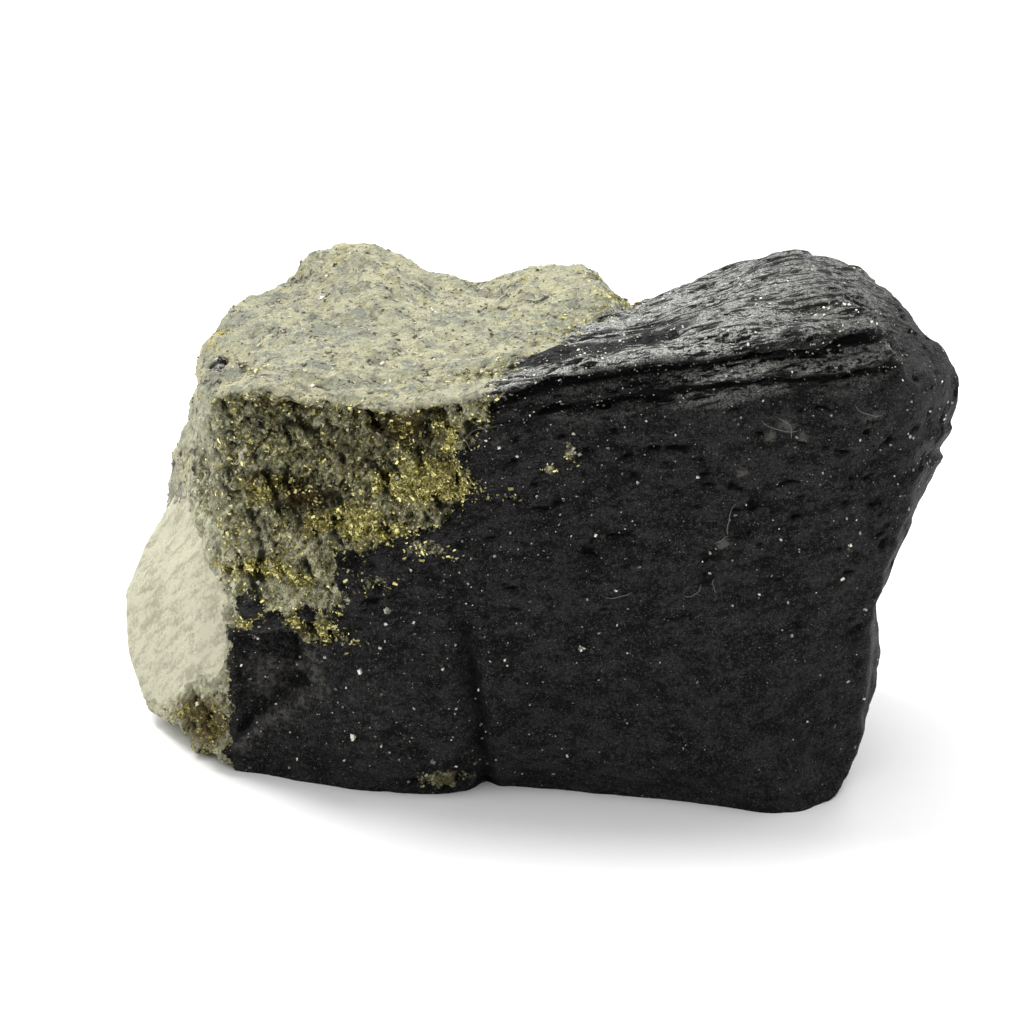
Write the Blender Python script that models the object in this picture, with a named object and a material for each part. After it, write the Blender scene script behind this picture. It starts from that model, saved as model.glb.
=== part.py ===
"""A rough lump of pyrite in dark shale, at its real size, resting on its flat underside.

Metres, +Z up. +X runs along the stone from its pale lobe to its dark end, and -Y is its show side. The origin is the
middle of the stone's box, on the surface that it rests on.

The stone is drawn as the corners of its broken faces. A closed skin of points is thrown outwards from the stone's
heart on to those faces, its edges are worn round, and then the ledges, the scoop, the cleft and the pits are cut in.
"""

import bmesh
import bpy
import numpy as np

MM = 0.001

# Driving dimensions, in millimetres
HEART = (0.0, 0.5, 11.5)  # every corner is seen from here
EDGE_WEAR = 0.55  # radius to which its edges are worn round
EDGE_WANDER = 0.018  # how far its edges wander from straight, as a share of the distance from the heart
LAYER_NORMAL = np.array((-0.19, 0.24, 0.95))  # the shale's layers lie across this
LAYER_THICKNESS = 2.6
LAYER_STEP = 0.7
LUMP_SIZE = 5.5
LUMP_HEIGHT = 0.3
HALF_BOX = (22.0, 11.5, 13.0)  # the box of points that the skin starts from, as the stone's rough proportions
MIDDLE = (-0.7, 1.1, 0.0)  # the middle of the drawn stone, which becomes the origin
SKIN_STEP = 0.4  # spacing of the skin's points before it is thinned
TRIANGLES = 8400

# Corners of the broken faces, in millimetres: across, away from the show side, up. Each row runs left to right.
FAR_RIM = (
    (-18.2, 3.6, 20.2),
    (-17.3, 8.6, 20.9),
    (-15.6, 10.2, 21.0),
    (-14.0, 11.2, 20.4),
    (-13.0, 12.0, 21.6),
    (-11.3, 12.2, 23.2),
    (-8.4, 12.0, 21.9),
    (-3.5, 10.5, 21.2),
    (0.2, 9.4, 22.9),
    (2.2, 9.0, 23.0),
    (4.7, 6.8, 21.3),
    (9.2, 5.2, 23.8),
    (13.2, 4.2, 25.4),
    (16.6, 2.8, 24.9),
    (19.0, 0.6, 23.9),
)
CROWN = (
    (-13.5, 1.0, 21.8),
    (-8.0, 2.0, 22.0),
    (-2.0, 1.0, 22.2),
    (4.0, 0.0, 23.0),
    (10.0, -2.0, 25.2),
    (15.0, -2.4, 26.0),
)
BROW = (
    (-17.2, -7.0, 22.0),
    (-14.8, -8.4, 23.0),
    (-12.6, -8.9, 22.5),
    (-10.0, -9.3, 22.4),
    (-7.5, -9.4, 22.3),
    (-4.4, -9.4, 22.8),
    (-2.4, -9.4, 23.4),
    (2.7, -9.4, 24.6),
    (7.7, -9.4, 25.4),
    (12.7, -9.2, 26.2),
    (16.8, -7.6, 26.0),
)
FACE = (
    (-4.6, -9.6, 15.0),
    (1.0, -10.0, 20.0),
    (8.0, -10.2, 21.0),
    (15.0, -9.6, 21.5),
    (1.0, -10.2, 10.0),
    (8.0, -10.6, 11.0),
    (15.0, -9.6, 12.0),
    (4.0, -10.3, 4.0),
    (11.0, -11.3, 5.0),
    (-9.5, -9.6, 8.0),
    (-8.0, -10.0, 3.5),
)
SHOW_FOOT = (
    (-21.0, -3.0, 0.8),
    (-19.2, -4.7, 0.5),
    (-16.6, -7.4, -0.2),
    (-13.4, -8.8, -0.8),
    (-9.0, -9.8, -0.9),
    (-5.6, -10.4, -0.9),
    (-2.4, -9.4, -0.9),
    (5.0, -10.8, -0.9),
    (11.3, -12.3, -0.9),
    (13.8, -12.5, -0.8),
    (15.8, -11.6, -0.2),
    (16.7, -8.8, 1.0),
)
LOBE = (
    (-19.7, -1.4, 13.6),
    (-20.9, 1.4, 10.8),
    (-23.2, 2.0, 6.2),
    (-23.0, 0.4, 3.2),
    (-22.0, -1.6, 0.8),
    (-17.9, -5.6, 12.2),
    (-16.3, -7.6, 10.2),
    (-17.0, -7.6, 6.6),
    (-19.0, -6.2, 3.4),
)
LEFT_END = (
    (-18.5, -2.4, 18.8),
    (-18.4, -3.6, 15.6),
    (-17.0, -7.2, 18.0),
)
RIGHT_END = (
    (21.3, -2.0, 22.9),
    (21.8, -3.2, 20.6),
    (21.5, -3.0, 18.6),
    (20.6, -2.8, 16.0),
    (19.6, -2.8, 13.4),
    (18.5, -2.8, 10.6),
    (17.7, -3.0, 7.6),
    (18.0, -4.8, 5.8),
    (16.4, -5.6, 3.0),
    (19.4, -6.8, 22.0),
    (19.2, -6.8, 17.0),
    (17.2, -8.2, 10.0),
)
BACK = (
    (-19.0, 7.4, 12.0),
    (-15.6, 12.6, 15.8),
    (-8.6, 14.6, 15.2),
    (-2.6, 13.6, 17.0),
    (1.6, 12.6, 11.6),
    (6.4, 10.2, 16.4),
    (12.6, 8.6, 18.0),
    (18.2, 4.4, 16.4),
    (9.2, 9.6, 9.0),
    (16.8, 3.6, 9.6),
    (-20.8, 6.6, 4.4),
    (-15.2, 12.6, 6.2),
    (-10.4, 13.2, 2.6),
    (-5.2, 13.6, 6.4),
    (3.4, 11.0, 3.4),
    (10.0, 8.0, 3.0),
    (15.4, 2.6, 3.4),
)
FAR_FOOT = (
    (-19.8, 3.6, 0.8),
    (-16.0, 7.0, 0.4),
    (-12.0, 9.4, -0.3),
    (-7.0, 10.6, -0.7),
    (-3.0, 10.4, -0.7),
    (4.0, 8.8, 0.4),
    (11.0, 5.0, -0.5),
    (15.0, -1.5, 0.3),
)
UNDERSIDE = (
    (-16.0, -1.0, 0.6),
    (-11.0, -4.6, -0.4),
    (-6.0, -5.6, -0.6),
    (-10.0, 3.0, 0.9),
    (-5.0, 7.2, -0.6),
    (-2.0, 0.6, 1.3),
    (3.0, -4.8, 0.3),
    (4.0, 4.4, 1.0),
    (9.0, -6.4, -0.7),
    (12.6, -7.6, -0.6),
    (10.0, -0.6, 0.9),
)
CORNERS = FAR_RIM + CROWN + BROW + FACE + SHOW_FOOT + LOBE + LEFT_END + RIGHT_END + BACK + FAR_FOOT + UNDERSIDE

# Cuts into the show side, as places on it in millimetres (across, up) and depths
SCOOP_DEPTH = 2.6
SCOOP_FOOT = ((-18.0, 9.5), (-14.0, 10.4), (-10.6, 11.2), (-8.6, 13.4), (-4.0, 15.2))
SCOOP_WALL = ((14.0, -6.6), (16.6, -4.1), (18.4, -3.7), (20.0, -4.8), (22.8, -4.5))  # (up, across), foot to brow
CLEFT_LINE = ((-4.8, 14.0), (-4.3, 9.2), (-3.7, 5.4), (-3.1, -1.0))
CLEFT_WIDTH = 0.75
CLEFT_DEPTH = 1.3
CHIP_CORNERS = ((-16.6, 2.1), (-12.3, 5.9), (-13.1, 9.0), (-16.4, 8.6))
CHIP_DEPTH = 1.5
CHIP_WALL = 0.45
LUMPS = (  # across, up, radius, height
    (-15.4, 10.4, 0.9, 0.7),
    (-4.3, 19.4, 1.3, 0.5),
    (-10.2, 11.6, 1.2, 0.5),
    (-8.2, 13.4, 1.0, 0.4),
    (-12.6, 12.0, 1.1, 0.4),
    (-6.8, 17.6, 1.2, 0.45),
    (-12.4, 15.6, 1.5, 0.5),
    (-9.6, 4.6, 3.0, 0.3),
    (9.0, 12.0, 6.0, 0.3),
)
LEDGE_LINES = (  # each the lip of a layer that the stone has broken back under
    ((-4.2, 22.2), (-0.1, 23.6), (5.2, 24.6), (10.7, 25.3), (17.4, 25.7)),
    ((-2.0, 21.6), (0.6, 22.4), (6.7, 23.5), (10.7, 23.9), (17.8, 23.9)),
)
LEDGE_DEPTHS = (0.85, 0.6)
LEDGE_HEIGHTS = (1.1, 0.8)


def smooth_step(t):
    """0 below 0, 1 above 1 and a smooth slope between."""
    t = np.clip(t, 0.0, 1.0)
    return t * t * (3.0 - 2.0 * t)


def corner_values(cell, seed):
    """Three numbers from -1 to 1 for each whole-number cell, always the same for the same cell and seed."""
    x, y, z = (cell[..., axis].astype(np.uint32) for axis in range(3))
    mixed = x * np.uint32(374761393) + y * np.uint32(668265263) + z * np.uint32(1274126177)
    mixed = mixed + np.uint32((seed * 97 + 13) * 2246822519 % 2**32)
    values = []
    for step in range(3):
        mixed = (mixed ^ (mixed >> np.uint32(15))) * np.uint32(2654435761)
        mixed = mixed ^ (mixed >> np.uint32(13))
        values.append((mixed & np.uint32(0xFFFF)).astype(float) / 32767.5 - 1.0)
    return np.stack(values, axis=-1)


def roughness(points, size, seed, layers=1):
    """Gradient noise, about -1 to 1, whose lumps are `size` across. Each further layer is half the size and height."""
    total = np.zeros(len(points))
    height = 1.0
    for layer in range(layers):
        place = points * (2.0**layer / np.asarray(size))
        cell = np.floor(place).astype(np.int64)
        within = place - cell
        ease = within**3 * (within * (within * 6.0 - 15.0) + 10.0)
        value = np.zeros(len(points))
        for corner in np.ndindex(2, 2, 2):
            slope = corner_values(cell + corner, seed + layer)
            share = np.prod(np.where(corner, ease, 1.0 - ease), axis=1)
            value += share * np.sum(slope * (within - corner), axis=1)
        total += 1.6 * height * value
        height *= 0.5
    return total


def distance_to_line(across, up, line):
    """(distance, share of the way along) from each place on the show side to a line of straight pieces."""
    nearest = np.full(len(across), np.inf)
    along = np.zeros(len(across))
    for number, (start, end) in enumerate(zip(line, line[1:])):
        run = np.subtract(end, start)
        share = ((across - start[0]) * run[0] + (up - start[1]) * run[1]) / (run @ run)
        share = np.clip(share, 0.0, 1.0)
        away = np.hypot(across - start[0] - share * run[0], up - start[1] - share * run[1])
        along = np.where(away < nearest, (number + share) / (len(line) - 1), along)
        nearest = np.minimum(away, nearest)
    return nearest, along


def inside_outline(across, up, corners):
    """How far inside a convex outline, drawn anticlockwise, each place on the show side is."""
    depth = np.full(len(across), np.inf)
    for start, end in zip(corners, corners[1:] + corners[:1]):
        run = np.subtract(end, start)
        run = run / np.hypot(*run)
        depth = np.minimum(depth, run[0] * (up - start[1]) - run[1] * (across - start[0]))
    return depth


def scoop_depth(across, up):
    """The hollow broken out of the left of the show side: walled by the dark face, open to the left and the foot."""
    brow = np.interp(across, [corner[0] for corner in BROW], [corner[2] for corner in BROW])
    foot = np.interp(across, [spot[0] for spot in SCOOP_FOOT], [spot[1] for spot in SCOOP_FOOT])
    wall = np.interp(up, [spot[0] for spot in SCOOP_WALL], [spot[1] for spot in SCOOP_WALL])
    under_brow = smooth_step((brow - 0.3 - up) / 1.5)
    rise = smooth_step(1.1 * (up - foot) / (brow - foot))
    return SCOOP_DEPTH * under_brow * rise * smooth_step((across + 18.6) / 7.0) * smooth_step((wall - across) / 1.0)


def cleft_depth(across, up):
    """The cleft that parts the lower lobe from the dark face, deeper towards its foot."""
    away, along = distance_to_line(across, up, CLEFT_LINE)
    return CLEFT_DEPTH * np.exp(-((away / CLEFT_WIDTH) ** 2)) * smooth_step(2.0 * along)


def chip_depth(across, up):
    """The flake lost beside the lobe: its flat floor sinks from the left edge to a wall at the lower right."""
    floor = np.clip(0.15 + 0.3 * (across - CHIP_CORNERS[0][0]), 0.0, 1.0)
    return CHIP_DEPTH * floor * smooth_step(inside_outline(across, up, CHIP_CORNERS) / CHIP_WALL)


def lump_height(across, up):
    """The small rounded lumps that stand on the show side."""
    height = np.zeros(len(across))
    for middle, level, radius, proud in LUMPS:
        height += proud * np.exp(-((across - middle) ** 2 + (up - level) ** 2) / radius**2)
    return height


def ledge_depth(across, up):
    """The stepped layers under the brow: the stone is cut back under each lip and comes out again below."""
    depth = np.zeros(len(across))
    for line, step, height in zip(LEDGE_LINES, LEDGE_DEPTHS, LEDGE_HEIGHTS):
        lip = np.interp(across, [p[0] for p in line], [p[1] for p in line])
        ends = smooth_step((across - line[0][0]) / 3.0) * smooth_step((line[-1][0] + 1.5 - across) / 4.0)
        below = lip - up
        depth += step * ends * smooth_step(below / 0.35) * (1.0 - smooth_step((below - 0.5 * height) / height))
    return depth


def corner_cage():
    """The corners as seen from the heart and the triangles between neighbours, from a convex hull of their directions."""
    corners = np.array(CORNERS) - HEART
    sight = corners / np.linalg.norm(corners, axis=1)[:, None]
    hull = bmesh.new()
    for direction in sight:
        hull.verts.new(direction)
    hull.verts.index_update()
    bmesh.ops.convex_hull(hull, input=hull.verts)
    bmesh.ops.triangulate(hull, faces=hull.faces)
    triangles = np.array([[vertex.index for vertex in face.verts] for face in hull.faces])
    hull.free()
    a, b, c = (corners[triangles[:, n]] for n in range(3))
    turned = np.einsum("ij,ij->i", np.cross(b - a, c - a), a) < 0.0
    triangles[turned] = triangles[turned][:, ::-1]
    return corners, triangles


def distance_to_faces(sight, corners, triangles):
    """How far from the heart each line of sight meets the cage."""
    a, b, c = (corners[triangles[:, n]] for n in range(3))
    sides = [np.cross(a, b), np.cross(b, c), np.cross(c, a)]
    sides = [side / np.linalg.norm(side, axis=1)[:, None] for side in sides]
    normal = np.cross(b - a, c - a)
    height = np.einsum("ij,ij->i", normal, a)
    distance = np.empty(len(sight))
    for start in range(0, len(sight), 20000):
        part = sight[start : start + 20000]
        inside = np.minimum.reduce([part @ side.T for side in sides])
        face = inside.argmax(axis=1)
        distance[start : start + 20000] = height[face] / np.einsum("ij,ij->i", part, normal[face])
    return distance


def worn_distance(sight, corners, triangles):
    """The distance to the faces, averaged over a small disc of directions, which rounds the edges."""
    side = np.cross(sight, (0.3, 0.2, 1.0))
    side /= np.linalg.norm(side, axis=1)[:, None]
    over = np.cross(sight, side)
    total = 2.0 * distance_to_faces(sight, corners, triangles)
    weight = 2.0
    reach = 2.0 * EDGE_WEAR / total[:, None]
    for ring, count, share in ((0.5, 6, 1.0), (1.0, 9, 0.6)):
        for turn in np.arange(count) * (2.0 * np.pi / count):
            lean = reach * ring * (np.cos(turn) * side + np.sin(turn) * over)
            near = sight + lean
            near /= np.linalg.norm(near, axis=1)[:, None]
            total += share * distance_to_faces(near, corners, triangles)
            weight += share
    return total / weight


def box_lattice(counts):
    """Points on the six sides of a lattice box, each axis from -1 to 1, and the four-sided faces between them."""
    number = np.full(np.add(counts, 1), -1)
    spots = np.indices(number.shape).reshape(3, -1).T
    outer = ((spots == 0) | (spots == counts)).any(axis=1)
    spots = spots[outer]
    number[tuple(spots.T)] = np.arange(len(spots))
    faces = []
    for axis in range(3):
        for end in (0, -1):
            sheet = np.take(number, end, axis=axis)
            quads = np.stack([sheet[:-1, :-1], sheet[1:, :-1], sheet[1:, 1:], sheet[:-1, 1:]], axis=-1)
            outwards = (end == -1) == (axis != 1)
            faces.append(quads.reshape(-1, 4)[:, :: 1 if outwards else -1])
    return spots * (2.0 / np.array(counts)) - 1.0, np.concatenate(faces)


def show_side_cuts(points, sight):
    """How far each point of the show side is set back, in millimetres."""
    across, away, up = points.T
    facing = smooth_step((-4.0 - away) / 2.5) * smooth_step(-3.0 * sight[:, 1])
    ragged_across = across + 0.5 * roughness(points, 3.0, 21, layers=2)
    ragged_up = up + 0.35 * roughness(points, 2.6, 31, layers=2)
    cuts = scoop_depth(ragged_across, up) + cleft_depth(across, up) + chip_depth(across, up)
    return facing * (cuts + ledge_depth(across, ragged_up) - lump_height(across, up))


def layer_relief(points, sight):
    """The shale's layers, broken at different heights round the back and the dark end: slopes between sharp risers."""
    across, away, up = points.T
    height = points @ LAYER_NORMAL
    uneven = 0.8 * roughness(np.outer(height, (1.0, 0.0, 0.0)), 4.0, 5)
    layer = height / LAYER_THICKNESS + uneven + 0.6 * roughness(points, 9.0, 2)
    number = np.floor(layer)
    place = np.stack([number, np.floor(0.12 * across), np.zeros(len(across))], axis=1)
    proud = 0.55 + 0.45 * corner_values(place, 7)[:, 0]
    slope = smooth_step((layer - number) / 0.8) - smooth_step((layer - number - 0.8) / 0.2)
    upright = np.clip(1.3 - 1.6 * np.abs(sight @ LAYER_NORMAL), 0.0, 1.0)
    behind = smooth_step((away + 1.0) / 4.0) * smooth_step((across + 20.0) / 4.0)
    dark_end = smooth_step((across - 14.5) / 3.0)
    return LAYER_STEP * proud * slope * upright * np.clip(behind + dark_end, 0.0, 1.0)


def broken_relief(points):
    """The lumps of the broken stone, in millimetres, lowest on the dark face and on the pale facet of the lobe."""
    across, away, up = points.T
    dark_face = smooth_step((-6.5 - away) / 2.0) * smooth_step((across + 4.0) / 2.0)
    pale_facet = smooth_step((-16.0 - across) / 1.5) * smooth_step((14.5 - up) / 2.0) * smooth_step((2.0 - away) / 2.0)
    calm = 1.0 - 0.5 * dark_face - 0.6 * pale_facet
    return LUMP_HEIGHT * roughness(points, LUMP_SIZE, 1, layers=3) * calm


def stone_skin():
    """Points of the stone's skin in millimetres, and the faces between them."""
    counts = np.ceil(2.0 * np.array(HALF_BOX) / SKIN_STEP).astype(int)
    lattice, faces = box_lattice(counts)
    sight = lattice * HALF_BOX
    sight /= np.linalg.norm(sight, axis=1)[:, None]
    wander = np.stack([roughness(sight * 20.0, 5.0, seed, layers=2) for seed in (11, 12, 13)], axis=1)
    sight_seen = sight + EDGE_WANDER * wander
    sight_seen /= np.linalg.norm(sight_seen, axis=1)[:, None]
    corners, triangles = corner_cage()
    points = sight * worn_distance(sight_seen, corners, triangles)[:, None] + HEART
    points[:, 1] += show_side_cuts(points, sight)
    points += sight * (broken_relief(points) + layer_relief(points, sight))[:, None]
    return points - MIDDLE, faces


def stone():
    """The whole stone, thinned to its flat stretches and broken edges, with its foot cut flat."""
    points, faces = stone_skin()
    mesh = bpy.data.meshes.new("pyrite_stone")
    mesh.from_pydata((points * MM).tolist(), [], faces.tolist())
    body = bpy.data.objects.new("pyrite_stone", mesh)
    bpy.context.scene.collection.objects.link(body)
    thin = body.modifiers.new("thin", "DECIMATE")
    triangles = 2 * len(faces)
    thin.ratio = TRIANGLES / triangles
    bpy.context.view_layer.update()
    graph = bpy.context.evaluated_depsgraph_get()
    worn = bmesh.new()
    worn.from_object(body, graph)
    cut = bmesh.ops.bisect_plane(
        worn,
        geom=worn.verts[:] + worn.edges[:] + worn.faces[:],
        plane_co=(0.0, 0.0, 0.0),
        plane_no=(0.0, 0.0, -1.0),
        clear_outer=True,
    )
    rim = [edge for edge in cut["geom_cut"] if isinstance(edge, bmesh.types.BMEdge)]
    bmesh.ops.edgenet_fill(worn, edges=rim)
    bmesh.ops.triangulate(worn, faces=worn.faces)
    body.modifiers.remove(thin)
    worn.to_mesh(mesh)
    worn.free()
    return body


def dark_shale():
    """Near-black shale with a dull shine."""
    material = bpy.data.materials.new("dark_shale")
    material.use_nodes = True
    shader = material.node_tree.nodes["Principled BSDF"]
    shader.inputs["Base Color"].default_value = (0.045, 0.045, 0.047, 1.0)
    shader.inputs["Roughness"].default_value = 0.55
    shader.inputs["Metallic"].default_value = 0.0
    return material


def main():
    for old in list(bpy.data.objects):
        bpy.data.objects.remove(old)
    stone().data.materials.append(dark_shale())


main()
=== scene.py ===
"""Looks of a rough lump of pyrite in dark shale: its skin, its crust of pyrite grains, its flakes and its lint.

The stone's form is the same drawing as its solid: a cage of the corners of its broken faces, seen from its heart,
with worn edges and with the scoop, the cleft, the chip and the ledges cut into its show side. Lengths inside the
formulas are millimetres in the drawing's own place (across, away from the show side, up); meshes are metres.
"""

import logging
import math
from dataclasses import dataclass, field
from enum import Enum
from typing import Any, Callable

import bmesh
import bpy
import numpy as np
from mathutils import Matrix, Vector


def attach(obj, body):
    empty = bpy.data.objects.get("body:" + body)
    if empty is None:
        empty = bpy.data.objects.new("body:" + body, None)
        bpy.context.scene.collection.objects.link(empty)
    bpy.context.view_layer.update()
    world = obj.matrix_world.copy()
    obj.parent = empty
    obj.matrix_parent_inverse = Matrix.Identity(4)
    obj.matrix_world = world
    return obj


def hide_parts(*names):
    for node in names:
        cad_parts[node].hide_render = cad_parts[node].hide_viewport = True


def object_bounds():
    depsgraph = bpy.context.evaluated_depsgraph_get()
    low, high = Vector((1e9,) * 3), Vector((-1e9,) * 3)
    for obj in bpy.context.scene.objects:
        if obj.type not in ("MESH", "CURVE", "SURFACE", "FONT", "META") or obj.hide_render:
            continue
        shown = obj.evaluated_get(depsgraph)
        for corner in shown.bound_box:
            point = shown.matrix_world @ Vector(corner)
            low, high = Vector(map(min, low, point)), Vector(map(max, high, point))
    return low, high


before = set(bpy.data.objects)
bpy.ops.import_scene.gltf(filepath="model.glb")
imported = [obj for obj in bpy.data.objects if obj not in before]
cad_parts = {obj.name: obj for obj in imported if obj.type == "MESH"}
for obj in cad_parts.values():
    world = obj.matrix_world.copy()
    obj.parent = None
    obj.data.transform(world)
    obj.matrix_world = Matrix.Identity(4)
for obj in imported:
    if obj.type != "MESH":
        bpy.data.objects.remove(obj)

CAD_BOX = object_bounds()

Array = np.ndarray
Line = tuple[tuple[float, float], ...]
Corner = tuple[float, float, float]
Colour = tuple[float, float, float]

MM = 0.001
SHOW_CRYSTALS = (
    (-13.1, 6.3), (-15.3, 8.0), (-10.2, 3.4), (-8.1, 3.6), (-6.0, 2.1), (-9.7, 7.3), (-8.2, 10.8), (1.4, 19.9),
    (15.6, 14.4), (15.2, 12.6), (12.7, 9.9), (1.9, 8.9), (4.3, 9.0), (16.6, 10.4), (8.6, 3.0), (13.5, 3.8),
    (-18.4, 7.4), (19.2, 22.6), (-5.6, 18.2), (-7.6, 17.6), (-8.9, 15.1), (-14.3, 12.7), (0.9, 17.2),
)
TOP_CRYSTALS = (
    (-11.5, 9.6), (-12.2, 7.0), (16.4, -7.1), (17.1, -6.2), (14.9, -6.6), (-6.0, -3.0), (-9.6, -1.8), (-14.0, 2.0),
    (-3.2, 4.6), (11.2, -2.4), (8.0, -5.0), (-10.6, 10.4),
    (15.9, -5.6), (16.3, -5.1), (15.4, -4.8), (16.8, -5.8), (14.9, -5.3), (16.1, -4.2), (13.6, -5.9), (14.2, -4.4),
    (17.1, -4.9), (12.4, -5.2), (15.0, -3.4), (16.6, -3.2),
)
NODE = "pyrite_stone"
BODY = "root"
LOG = logging.getLogger("stone")


# ---------------------------------------------------------------------------------------------------------------
# Formulas
# ---------------------------------------------------------------------------------------------------------------


def smooth_step(t: Array) -> Array:
    """0 below 0, 1 above 1 and 3t^2 - 2t^3 between."""
    t = np.clip(t, 0.0, 1.0)
    return t * t * (3.0 - 2.0 * t)


def read_line(at: Array, line: Line) -> Array:
    """The second numbers of a line's points, read at the first ones, straight between points."""
    return np.interp(at, [spot[0] for spot in line], [spot[1] for spot in line])


def cell_values(cell: Array, seed: int) -> Array:
    """Three numbers from -1 to 1 for each whole-number cell.

    Each is a hash: the cell's three numbers times large odd numbers, added up, then twice folded and multiplied.

    Args:
        cell: whole numbers, with the three axes last.
        seed: which of many sets of numbers.

    Returns:
        The three numbers, in the last axis.
    """
    x, y, z = (cell[..., axis].astype(np.uint32) for axis in range(3))
    mixed = x * np.uint32(374761393) + y * np.uint32(668265263) + z * np.uint32(1274126177)
    mixed = mixed + np.uint32((seed * 97 + 13) * 2246822519 % 2**32)
    values = []
    for _ in range(3):
        mixed = (mixed ^ (mixed >> np.uint32(15))) * np.uint32(2654435761)
        mixed = mixed ^ (mixed >> np.uint32(13))
        values.append((mixed & np.uint32(0xFFFF)).astype(float) / 32767.5 - 1.0)
    return np.stack(values, axis=-1)


@dataclass(frozen=True)
class Roughness:
    """Gradient noise: random slopes at the corners of cells, blended across each cell by 6t^5 - 15t^4 + 10t^3.

    Attributes:
        size: how large a lump is, in millimetres, the same all ways or for each axis.
        seed: which of many patterns.
        layers: how many times it is added at half the size and half the height.
    """

    size: float | Corner
    seed: int
    layers: int = 1

    def at(self, points: Array) -> Array:
        """The noise at each point, about -1 to 1."""
        total = np.zeros(len(points))
        height = 1.0
        for layer in range(self.layers):
            place = points * (2.0**layer / np.asarray(self.size))
            cell = np.floor(place).astype(np.int64)
            within = place - cell
            ease = within**3 * (within * (within * 6.0 - 15.0) + 10.0)
            value = np.zeros(len(points))
            for corner in np.ndindex(2, 2, 2):
                slope = cell_values(cell + corner, self.seed + layer)
                share = np.prod(np.where(corner, ease, 1.0 - ease), axis=1)
                value += share * np.sum(slope * (within - corner), axis=1)
            total += 1.6 * height * value
            height *= 0.5
        return total


def distance_to_line(across: Array, up: Array, line: Line) -> tuple[Array, Array]:
    """The distance to a line of straight pieces on the show side.

    Each place is measured square to every piece, or to its nearer end, and the least distance is kept.

    Args:
        across: first numbers of the places.
        up: second numbers of the places.
        line: the line's points.

    Returns:
        The distance, and the share of the way along the line of the nearest point.
    """
    nearest = np.full(len(across), np.inf)
    along = np.zeros(len(across))
    for number, (start, end) in enumerate(zip(line, line[1:])):
        run = np.subtract(end, start)
        share = ((across - start[0]) * run[0] + (up - start[1]) * run[1]) / (run @ run)
        share = np.clip(share, 0.0, 1.0)
        away = np.hypot(across - start[0] - share * run[0], up - start[1] - share * run[1])
        along = np.where(away < nearest, (number + share) / (len(line) - 1), along)
        nearest = np.minimum(away, nearest)
    return nearest, along


def inside_outline(across: Array, up: Array, corners: Line) -> Array:
    """How far inside a convex outline, drawn anticlockwise, each place is: the least depth under any side."""
    depth = np.full(len(across), np.inf)
    for start, end in zip(corners, corners[1:] + corners[:1]):
        run = np.subtract(end, start)
        run = run / np.hypot(*run)
        depth = np.minimum(depth, run[0] * (up - start[1]) - run[1] * (across - start[0]))
    return depth


def unit(vectors: Array) -> Array:
    """The vectors at length 1."""
    return vectors / np.linalg.norm(vectors, axis=-1, keepdims=True)


# ---------------------------------------------------------------------------------------------------------------
# The stone's form
# ---------------------------------------------------------------------------------------------------------------


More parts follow.
